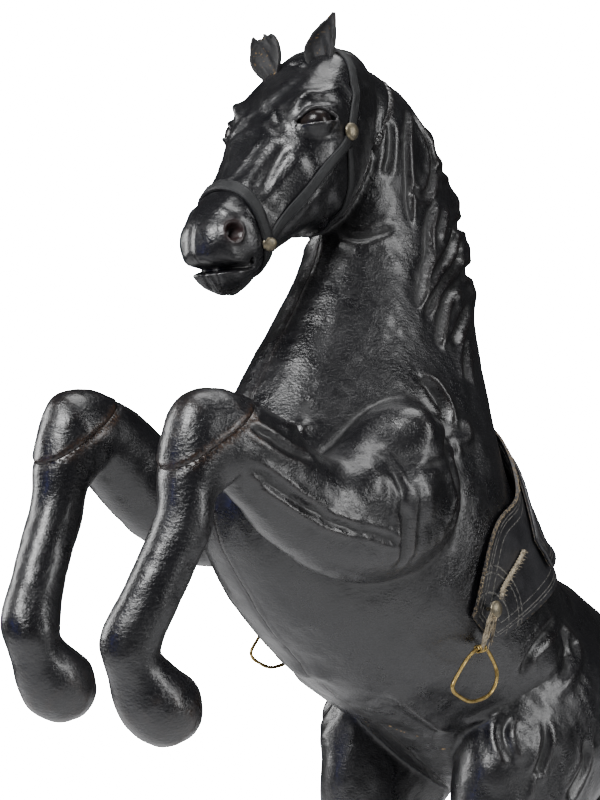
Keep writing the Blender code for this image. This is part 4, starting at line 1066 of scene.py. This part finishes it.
def make_nail(name, node, out, radius, height, tree, stand, wide=1.0):
    """A domed nail head facing out, with its shank, in place of a packed nail."""
    low, high = (np.array(v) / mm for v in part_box(node))
    middle = (low + high) / 2
    out = np.array(out, float) / np.linalg.norm(out)
    across = np.cross(out, (0, 0, 1))
    across /= np.linalg.norm(across)
    up = np.cross(across, out)
    base = np.array(tree.find_nearest(Vector(middle))[0]) + out * stand
    profile = [(0.0, -5.0), (0.9, -5.0), (0.9, -0.3), (radius * 0.8, -0.3), (radius, 0.0),
               (radius * 1.02, 0.25)]
    profile += [(radius * math.cos(t), 0.3 + height * math.sin(t))
                for t in np.linspace(0.12, math.pi / 2, 12)]
    around = 40
    points, faces = [], []
    for r, h in profile[1:-1]:
        for c in range(around):
            turn = 2 * math.pi * c / around
            dent = 1 + 0.02 * math.sin(3 * turn + h) + 0.012 * math.sin(7 * turn)
            points.append(base + out * h + (across * math.cos(turn) * wide + up * math.sin(turn)) * r * dent)
    rows = len(profile) - 2
    faces.extend(grid_faces(rows, around, True))
    for place, start in ((base + out * profile[0][1], 0), (base + out * profile[-1][1], (rows - 1) * around)):
        points.append(place)
        faces.extend((start + c, len(points) - 1, start + (c + 1) % around) for c in range(around))
    piece = new_piece(name, points, faces, old_brass)
    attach(piece, "horse")
    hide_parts(node)


for side, name in ((1, "left"), (-1, "right")):
    make_nail(f"rosette_nail_{name}", f"rosette_{name}", (side, -0.1, 0), 3.9, 1.7, hide_tree,
              1.9)
    make_nail(f"noseband_nail_{name}", f"noseband_stud_{name}", (side, -0.25, -0.3), 3.0, 1.1,
              hide_tree, 1.6, 1.2)


# THE SADDLE
# A wide skirt over the back with a seat panel on top, both cut from thin black leather. The edges
# are left raw, with lines tooled along them, and the seat has a piped rim.
skirt_front, skirt_rear = (6.7, 6.4, 6.1, 6.4, 5.95), (4.1, 4.3, 4.6, 5.1, 5.55)
seat_front, seat_rear = (6.35, 6.2, 5.95, 5.55), (4.3, 4.4, 4.7, 5.1)


def make_saddle_leather():
    leather = Finish("saddle_leather")
    leather.set(IOR=1.48, Specular_IOR_Level=0.5)
    edge, scroll = leather.attribute("edge"), leather.attribute("scroll")
    line = None
    for source, where in ((edge, 2.6), (edge, 4.4), (edge, 8.6), (scroll, 0.0), (scroll, 2.4), (scroll, 9.0)):
        off = leather.maths('ABSOLUTE', leather.maths('SUBTRACT', source, where))
        groove = leather.ramp(off, 0.18, 0.5, 1.0, 0.0)
        line = groove if line is None else leather.maths('MAXIMUM', line, groove)
    speck = leather.noise(1.6, 3, 0.7)
    cloud = leather.noise(15, 4, 0.6)
    colour = leather.blend(leather.ramp(cloud, 0.35, 0.7), (0.009, 0.009, 0.011, 1),
                           (0.020, 0.020, 0.023, 1))
    dust = leather.maths('MULTIPLY', line, leather.ramp(speck, 0.4, 0.62))
    colour = leather.blend(leather.maths('MULTIPLY', dust, 0.8), colour, (0.21, 0.20, 0.18, 1))
    ragged = leather.maths('ADD', edge, leather.ramp(speck, 0.3, 0.7, -0.3, 0.9))
    raw = leather.ramp(ragged, 0.05, 0.4, 1, 0)
    colour = leather.blend(leather.maths('MULTIPLY', raw, 0.7), colour, (0.16, 0.12, 0.075, 1))
    rough = leather.maths('ADD', leather.ramp(cloud, 0.3, 0.7, 0.34, 0.52),
                          leather.maths('MULTIPLY', raw, 0.35))
    normal = leather.bump(leather.cells(0.9, 'SMOOTH_F1'), 0.18, 0.5)
    normal = leather.bump(leather.noise(3.0, 4, 0.6, leather.place((1, 1, 1.8))), 0.5, 0.5, normal)
    normal = leather.bump(line, -0.45, 0.9, normal)
    return leather.to_shader(Base_Color=colour, Roughness=rough, Normal=normal)


saddle_leather = make_saddle_leather()


def make_panel(name, step, front, rear, lift, thickness, flare, scrolled, tree):
    """One curved sheet over the back, and its grid of places on the upper face."""
    rows, columns = 240, 84
    reach = step * (len(front) - 1)
    down = np.linspace(-reach, reach, rows)[:, None]
    u = np.linspace(0, 1, columns)[None, :]
    place = np.abs(down[:, 0]) / step
    ahead = smooth_through(np.array(front)[:, None], place)
    behind = smooth_through(np.array(rear)[:, None], place)
    s = behind * (1 - u) + ahead * u
    rise = lift + flare * u ** 5 * np.exp(-((np.abs(down) - 30) / 38) ** 2)
    rise = rise + 0.35 * np.sin(down / 9 + 4 * u) + 0.3 * np.sin(u * 9 + down / 23)
    grid = off_form(body_ribs, s, 90 - down + 0 * u, rise)
    under = grid.reshape(-1, 3)
    for i, point in enumerate(under):
        near, normal, _, _ = tree.find_nearest(Vector(point))
        short = 0.9 - (Vector(point) - near).dot(normal)
        if short > 0:
            under[i] = point + np.array(normal) * short
    grid = under.reshape(rows, columns, 3)
    for _ in range(4):
        grid = settled(grid, False, 2)
        grid = settled(grid.transpose(1, 0, 2), False, 2).transpose(1, 0, 2)
    rim = np.concatenate((grid[0], grid[:, -1], grid[-1, ::-1], grid[::-1, 0]))
    points = grid.reshape(-1, 3)
    edge = np.full(len(points), 1e9)
    for start in range(0, len(rim), 16):
        away = np.linalg.norm(points[:, None] - rim[None, start:start + 16], axis=2).min(1)
        edge = np.minimum(edge, away)
    piece = new_piece(name, points, grid_faces(rows, columns, False))
    mark(piece.data, "edge", edge)
    arc = (np.abs(down) - (0.80 + 0.07 * (2 * u - 1) ** 2) * reach) * 1.05
    mark(piece.data, "scroll", (arc if scrolled else arc * 0 + 50).ravel())
    facing = normals_of(piece.data)
    if (facing * (points - points.mean(0))).sum() < 0:
        piece.data.flip_normals()
        facing = -facing
    worked(piece, 'SOLIDIFY', thickness=thickness * mm, offset=1)
    piece.data.shade_smooth()
    piece.data.set_sharp_from_angle(angle=math.radians(50))
    piece.data.materials.append(saddle_leather)
    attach(piece, "horse")
    return piece, grid + facing.reshape(grid.shape) * thickness


def tree_of(piece):
    return BVHTree.FromPolygons([Vector(v) for v in points_of(piece.data)],
                                [tuple(p.vertices) for p in piece.data.polygons])


skirt, skirt_top = make_panel("saddle_skirt_sheet", 28, skirt_front, skirt_rear, 1.6, 1.5, 3.5, True,
                              hide_tree)
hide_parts("saddle_skirt")
seat, seat_top = make_panel("saddle_seat_sheet", 22, seat_front, seat_rear, 4.4, 1.5, 0.5, False,
                            tree_of(skirt))
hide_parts("saddle_seat")


def strand_nodes():
    """Rounded strands of a given radius along lines; each point's thickness scales its radius."""
    group = bpy.data.node_groups.new("strands", 'GeometryNodeTree')
    face = group.interface
    face.new_socket("Lines", in_out='INPUT', socket_type='NodeSocketGeometry')
    face.new_socket("Radius", in_out='INPUT', socket_type='NodeSocketFloat')
    face.new_socket("Finish", in_out='INPUT', socket_type='NodeSocketMaterial')
    face.new_socket("Strands", in_out='OUTPUT', socket_type='NodeSocketGeometry')
    node, link = group.nodes.new, group.links.new
    given, out = node("NodeGroupInput"), node("NodeGroupOutput")
    curve, size = node("GeometryNodeMeshToCurve"), node("GeometryNodeSetCurveRadius")
    thick = node("GeometryNodeInputNamedAttribute")
    thick.inputs["Name"].default_value = "thickness"
    circle, sweep = node("GeometryNodeCurvePrimitiveCircle"), node("GeometryNodeCurveToMesh")
    circle.inputs["Resolution"].default_value = 10
    sweep.inputs["Fill Caps"].default_value = True
    real, finish = node("GeometryNodeRealizeInstances"), node("GeometryNodeSetMaterial")
    link(given.outputs["Lines"], curve.inputs["Mesh"])
    link(curve.outputs["Curve"], size.inputs["Curve"])
    link(thick.outputs["Attribute"], size.inputs["Radius"])
    link(given.outputs["Radius"], circle.inputs["Radius"])
    link(size.outputs["Curve"], sweep.inputs["Curve"])
    link(circle.outputs["Curve"], sweep.inputs["Profile Curve"])
    if "Scale" in sweep.inputs:
        link(thick.outputs["Attribute"], sweep.inputs["Scale"])
    link(sweep.outputs["Mesh"], real.inputs["Geometry"])
    link(real.outputs["Geometry"], finish.inputs["Geometry"])
    link(given.outputs["Finish"], finish.inputs["Material"])
    link(finish.outputs["Geometry"], out.inputs["Strands"])
    return group


def fringe_nodes():
    """Short pointed fibres standing out along a line, in its points' out direction."""
    group = bpy.data.node_groups.new("fringe", 'GeometryNodeTree')
    face = group.interface
    face.new_socket("Line", in_out='INPUT', socket_type='NodeSocketGeometry')
    for name in ("Spacing", "Length", "Radius"):
        face.new_socket(name, in_out='INPUT', socket_type='NodeSocketFloat')
    face.new_socket("Seed", in_out='INPUT', socket_type='NodeSocketInt')
    face.new_socket("Finish", in_out='INPUT', socket_type='NodeSocketMaterial')
    face.new_socket("Fringe", in_out='OUTPUT', socket_type='NodeSocketGeometry')
    node, link = group.nodes.new, group.links.new
    given, out = node("NodeGroupInput"), node("NodeGroupOutput")
    curve, even = node("GeometryNodeMeshToCurve"), node("GeometryNodeResampleCurve")
    even.mode = 'LENGTH'
    cone, stand = node("GeometryNodeMeshCone"), node("GeometryNodeInstanceOnPoints")
    cone.inputs["Vertices"].default_value = 6
    cone.inputs["Radius Top"].default_value = 0.00003
    way = node("GeometryNodeInputNamedAttribute")
    stray, size = node("FunctionNodeRandomValue"), node("FunctionNodeRandomValue")
    way.data_type = stray.data_type = 'FLOAT_VECTOR'
    way.inputs["Name"].default_value = "out"
    stray.inputs["Min"].default_value = (-0.7, -0.7, -0.7)
    stray.inputs["Max"].default_value = (0.7, 0.7, 0.7)
    size.inputs[2].default_value, size.inputs[3].default_value = 0.45, 1.25
    both, turn = node("ShaderNodeVectorMath"), node("FunctionNodeAlignRotationToVector")
    turn.axis = 'Z'
    real, finish = node("GeometryNodeRealizeInstances"), node("GeometryNodeSetMaterial")
    link(given.outputs["Line"], curve.inputs["Mesh"])
    link(curve.outputs["Curve"], even.inputs["Curve"])
    link(given.outputs["Spacing"], even.inputs["Length"])
    link(given.outputs["Length"], cone.inputs["Depth"])
    link(given.outputs["Radius"], cone.inputs["Radius Bottom"])
    link(given.outputs["Seed"], stray.inputs["Seed"])
    link(given.outputs["Seed"], size.inputs["Seed"])
    link(way.outputs["Attribute"], both.inputs[0])
    link(stray.outputs["Value"], both.inputs[1])
    link(both.outputs["Vector"], turn.inputs["Vector"])
    link(even.outputs["Curve"], stand.inputs["Points"])
    link(cone.outputs["Mesh"], stand.inputs["Instance"])
    link(turn.outputs["Rotation"], stand.inputs["Rotation"])
    link(size.outputs[1], stand.inputs["Scale"])
    link(stand.outputs["Instances"], real.inputs["Geometry"])
    link(real.outputs["Geometry"], finish.inputs["Geometry"])
    link(given.outputs["Finish"], finish.inputs["Material"])
    link(finish.outputs["Geometry"], out.inputs["Fringe"])
    return group


strand_group, fringe_group = strand_nodes(), fringe_nodes()


def grown(name, group, lines, values, outs=None, thickness=None, closed=False):
    """A piece grown by a node group along lines given in millimetres."""
    points, edges = [], []
    for line in lines:
        first, count = len(points), len(line)
        points.extend(tuple(np.asarray(v) * mm) for v in line)
        edges.extend((first + i, first + i + 1) for i in range(count - 1))
        if closed:
            edges.append((first + count - 1, first))
    mesh = bpy.data.meshes.new(name)
    mesh.from_pydata(points, edges, [])
    mark(mesh, "thickness", np.ones(len(points)) if thickness is None else thickness)
    if outs is not None:
        layer = mesh.attributes.new("out", 'FLOAT_VECTOR', 'POINT')
        layer.data.foreach_set("vector", np.asarray(outs, np.float32).ravel())
    piece = bpy.data.objects.new(name, mesh)
    bpy.context.scene.collection.objects.link(piece)
    modifier = piece.modifiers.new("grown", 'NODES')
    modifier.node_group = group
    for item in group.interface.items_tree:
        if item.in_out == 'INPUT' and item.name in values:
            modifier[item.identifier] = values[item.name]
    depsgraph = bpy.context.evaluated_depsgraph_get()
    piece.data = bpy.data.meshes.new_from_object(piece.evaluated_get(depsgraph),
                                                 depsgraph=depsgraph)
    piece.modifiers.clear()
    piece.data.materials.clear()
    piece.data.materials.append(values["Finish"])
    piece.data.shade_smooth()
    return piece


def twisted(path, count, radius, pitch):
    """Lines of strands laid round a path, and round each other."""
    path = np.asarray(path, float)
    run = np.gradient(path, axis=0)
    run /= np.linalg.norm(run, axis=1, keepdims=True)
    side = np.cross(run, (0.2, 0.15, 1.0))
    side /= np.linalg.norm(side, axis=1, keepdims=True)
    up = np.cross(side, run)
    gone = np.concatenate(([0], np.cumsum(np.linalg.norm(np.diff(path, axis=0), axis=1))))
    lines = []
    for k in range(count):
        turn = (gone / pitch + k / count) * 2 * np.pi
        lines.append(path + radius * (side * np.cos(turn)[:, None] + up * np.sin(turn)[:, None]))
    return lines


# the rough raw edge of the skirt, and the piping round the seat
def make_raw_edge():
    raw = Finish("raw_edge")
    raw.set(Roughness=0.85, Specular_IOR_Level=0.2)
    colour = raw.blend(raw.ramp(raw.noise(3.2, 3, 0.7), 0.38, 0.62), (0.035, 0.030, 0.025, 1),
                       (0.36, 0.29, 0.19, 1))
    return raw.to_shader(Base_Color=colour, Normal=raw.bump(raw.noise(0.8, 3, 0.7), 0.2, 0.7))


raw_edge = make_raw_edge()
for name, rows in (("left", slice(150, 238)), ("right", slice(2, 90))):
    line = skirt_top[rows, -1]
    outward = line - skirt_top[rows, -4]
    outward /= np.linalg.norm(outward, axis=1, keepdims=True)
    line = line - outward * 0.5
    fringe = grown(f"skirt_fringe_{name}", fringe_group, [line],
                   {"Spacing": 0.6 * mm, "Length": 1.2 * mm, "Radius": 0.28 * mm, "Seed": 4,
                    "Finish": raw_edge}, outs=outward)
    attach(fringe, "horse")
piping_line = np.concatenate((seat_top[0, :-1], seat_top[:-1, -1], seat_top[-1, :0:-1],
                              seat_top[:0:-1, 0]))
piping_line = settled(piping_line, True, 6)[::2]
piping = grown("seat_piping", strand_group, [piping_line], {"Radius": 1.0 * mm, "Finish": saddle_leather},
               thickness=1 + 0.06 * np.sin(np.arange(len(piping_line)) * 1.9), closed=True)
mark(piping.data, "edge", np.full(len(piping.data.vertices), 12.0))
mark(piping.data, "scroll", np.full(len(piping.data.vertices), 50.0))
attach(piping, "horse")
saddle_tree = tree_of(skirt)
for side, name in ((1, "left"), (-1, "right")):
    make_nail(f"saddle_nail_{name}", f"saddle_stud_{name}", (side, -0.1, 0.1), 3.9, 1.5, saddle_tree,
              5.6, 1.0)


# THE THONGS AND TIES
# A frayed strand of tan leather lies over each flap and is caught under the nail. A loop of lace
# hangs from the nail and carries the stirrup, its cut ends teased out.
def make_thong_leather():
    thong = Finish("thong_leather")
    thong.set(Roughness=0.75, Specular_IOR_Level=0.3)
    long_grain = thong.noise(1.3, 4, 0.7)
    colour = thong.blend(thong.ramp(long_grain, 0.35, 0.66), (0.10, 0.08, 0.055, 1), (0.42, 0.36, 0.26, 1))
    colour = thong.blend(thong.ramp(thong.noise(5, 3, 0.6), 0.56, 0.7), colour, (0.06, 0.055, 0.05, 1))
    return thong.to_shader(Base_Color=colour, Normal=thong.bump(thong.noise(0.7, 3, 0.7), 0.25, 0.8))


thong_leather = make_thong_leather()
seat_tree = tree_of(seat)
nail_at, wire_at = np.array((69.7, -25.2, 330.9)), np.array((62.7, -25.2, 312.9))
for side, name in ((1, "left"), (-1, "right")):
    flip = np.array((side, 1, 1))
    path = smooth_through([(66, 3, 355.5), (67, -4, 350.5), (68, -11, 345.5), (69.5, -17.5, 339.5),
                           (71.5, -21.5, 335.5)], np.linspace(0, 4, 60)) * flip
    for i, point in enumerate(path):
        for tree, gap in ((saddle_tree, 1.4), (seat_tree, 1.4)):
            near, normal, _, _ = tree.find_nearest(Vector(point))
            off = (Vector(point) - near).dot(normal)
            if off < gap:
                point = point + np.array(normal) * (gap - off)
        path[i] = point
    path = settled(path, False, 6)
    thong = grown(f"thong_strand_{name}", strand_group, twisted(path, 3, 0.5, 6),
                  {"Radius": 0.6 * mm, "Finish": thong_leather})
    outward = np.tile((side, 0.1, 0.1), (len(path), 1)).astype(float)
    fray = grown(f"thong_fray_{name}", fringe_group, [path + 0.8 * flip * (1, 0, 0)],
                 {"Spacing": 0.5 * mm, "Length": 2.0 * mm, "Radius": 0.14 * mm, "Seed": 9,
                  "Finish": thong_leather}, outs=outward)
    for piece in (thong, fray):
        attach(piece, "horse")
    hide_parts(f"stirrup_thong_{name}")

    fall = wire_at - nail_at
    drop = np.linalg.norm(fall)
    fall /= drop
    turn = np.linspace(0, 2 * np.pi, 73)[:-1]
    loop = ((nail_at + wire_at) / 2 - np.outer(np.cos(turn), fall) * (drop / 2 + 1.7)
            + np.outer(np.sin(turn) * (1.3 + 0.5 * np.cos(turn)), (0, 1, 0)))
    loop[:, 0] += 0.7 + 0.3 * np.sin(turn * 2)
    tie = grown(f"tie_lace_{name}", strand_group, [loop * flip], {"Radius": 0.95 * mm,
                "Finish": thong_leather}, closed=True,
                thickness=1 + 0.12 * np.sin(turn * 9) + 0.06 * np.sin(turn * 23))
    chance = np.random.default_rng(5)
    ends = []
    for _ in range(11):
        tip = nail_at + (chance.uniform(0.8, 3.0), chance.uniform(-11, -3), chance.uniform(-19, -5))
        bend = (nail_at + tip) / 2 + (chance.uniform(1, 2.5), chance.uniform(-3, 1.5), 2)
        start = nail_at + (2.4, -1.5, -3.0)
        ends.append(smooth_through([start, bend, tip], np.linspace(0, 2, 14)) * flip)
    taper = np.tile(np.linspace(1, 0.35, 14), len(ends))
    frayed = grown(f"tie_ends_{name}", strand_group, ends, {"Radius": 0.3 * mm,
                   "Finish": raw_edge}, thickness=taper)
    for piece in (tie, frayed):
        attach(piece, f"tie_{name}")
    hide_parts(f"stirrup_tie_{name}")


# THE STIRRUPS
# Each is one length of brass wire bent by hand into a loop, its ends wound together at the top.
def make_wire_brass():
    brass = Finish("wire_brass")
    brass.set(Metallic=1.0, IOR=1.5)
    cloud = brass.noise(3.0, 4, 0.65)
    colour = brass.blend(brass.ramp(cloud, 0.35, 0.7), (0.20, 0.135, 0.045, 1), (0.52, 0.38, 0.14, 1))
    rough = brass.ramp(cloud, 0.3, 0.7, 0.5, 0.32)
    return brass.to_shader(Base_Color=colour, Roughness=rough,
                           Normal=brass.bump(brass.noise(1.4, 3, 0.6), 0.15, 0.6))


wire_brass = make_wire_brass()
bow = [(-29.6, 312.3), (-34.5, 310.2), (-39.6, 306.8), (-46.5, 299.9), (-46.6, 296.6), (-43.0, 293.6),
       (-33.8, 289.4), (-24.4, 289.2), (-17.9, 291.0), (-13.2, 295.4), (-12.6, 300.7), (-15.8, 306.4),
       (-21.6, 312.2)]
for side, name in ((1, "left"), (-1, "right")):
    flip = np.array((side, 1, 1))
    line = smooth_through([(wire_at[0], y, z) for y, z in bow + [bow[0]]], np.linspace(0, 13, 170)[:-1])
    line[:, 0] += 0.35 * np.sin(np.linspace(0, 2 * np.pi, 169) * 2)
    turn = np.linspace(0, 2 * np.pi * 3.5, 90)
    coil = np.stack((wire_at[0] + 1.45 * np.cos(turn), np.linspace(-29.0, -22.4, 90),
                     312.4 + 1.45 * np.sin(turn)), 1)
    stirrup = grown(f"stirrup_wire_{name}", strand_group, [line * flip],
                    {"Radius": 0.9 * mm, "Finish": wire_brass}, closed=True,
                    thickness=1 + 0.05 * np.sin(np.linspace(0, 60, 169)))
    winding = grown(f"stirrup_winding_{name}", strand_group, [coil * flip],
                    {"Radius": 0.55 * mm, "Finish": wire_brass})
    for piece in (stirrup, winding):
        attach(piece, f"stirrup_{name}")
    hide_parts(f"stirrup_{name}")


# THE STUDIO
# A pale floor and backdrop, broad soft lights on both sides and above, and a low blue-tinted
# strip whose reflection shows faintly on the chest and nose.
def make_stage():
    rim = [(780 * math.cos(t), 780 * math.sin(t), 0.0) for t in np.linspace(0, 2 * math.pi, 97)[:-1]]
    floor = new_piece("floor", rim, [tuple(range(96))], smooth=False)
    pale = Finish("pale_floor")
    pale.set(Base_Color=(0.82, 0.82, 0.83, 1), Roughness=0.6)
    floor.data.materials.append(pale.material)


def add_light(name, place, target, size, power, colour=(1, 1, 1), shape='RECTANGLE'):
    lamp = bpy.data.lights.new(name, 'AREA')
    lamp.shape = shape
    lamp.size, lamp.size_y = size
    lamp.energy = power
    lamp.color = colour
    obj = bpy.data.objects.new(name, lamp)
    bpy.context.scene.collection.objects.link(obj)
    obj.location = place
    obj.rotation_euler = (Vector(target) - Vector(place)).to_track_quat('-Z', 'Y').to_euler()


make_stage()
middle = (0, -0.05, 0.40)
add_light("key", (0.35, -1.25, 1.35), middle, (0.6, 0.6), 38)
add_light("left_box", (-1.3, -0.8, 0.75), middle, (0.45, 1.0), 20)
add_light("top_box", (0.1, 0.2, 1.75), middle, (0.8, 0.8), 12)
add_light("rear_right", (1.5, 0.55, 0.75), middle, (0.35, 1.1), 15)
add_light("blue_strip", (-0.2, -1.6, 0.35), middle, (0.12, 0.5), 1.2, (0.25, 0.3, 1.0))
world = bpy.data.worlds.new("studio")
bpy.context.scene.world = world
world.use_nodes = True
background = world.node_tree.nodes["Background"]
background.inputs["Color"].default_value = (1, 1, 1, 1)
path = world.node_tree.nodes.new("ShaderNodeLightPath")
strength = world.node_tree.nodes.new("ShaderNodeMapRange")
strength.inputs["To Min"].default_value = 0.03        # what the room gives the horse
strength.inputs["To Max"].default_value = 40.0        # the white paper behind it
world.node_tree.links.new(path.outputs["Is Camera Ray"], strength.inputs["Value"])
world.node_tree.links.new(strength.outputs["Result"], background.inputs["Strength"])

lens = bpy.data.cameras.new("camera")
lens.lens = 64.8
lens.sensor_width = 36
camera = bpy.data.objects.new("camera", lens)
camera.location = (0.4432, -0.5719, 0.4264)
camera.rotation_euler = (math.radians(90), 0, math.radians(42))
bpy.context.scene.collection.objects.link(camera)
bpy.context.scene.camera = camera
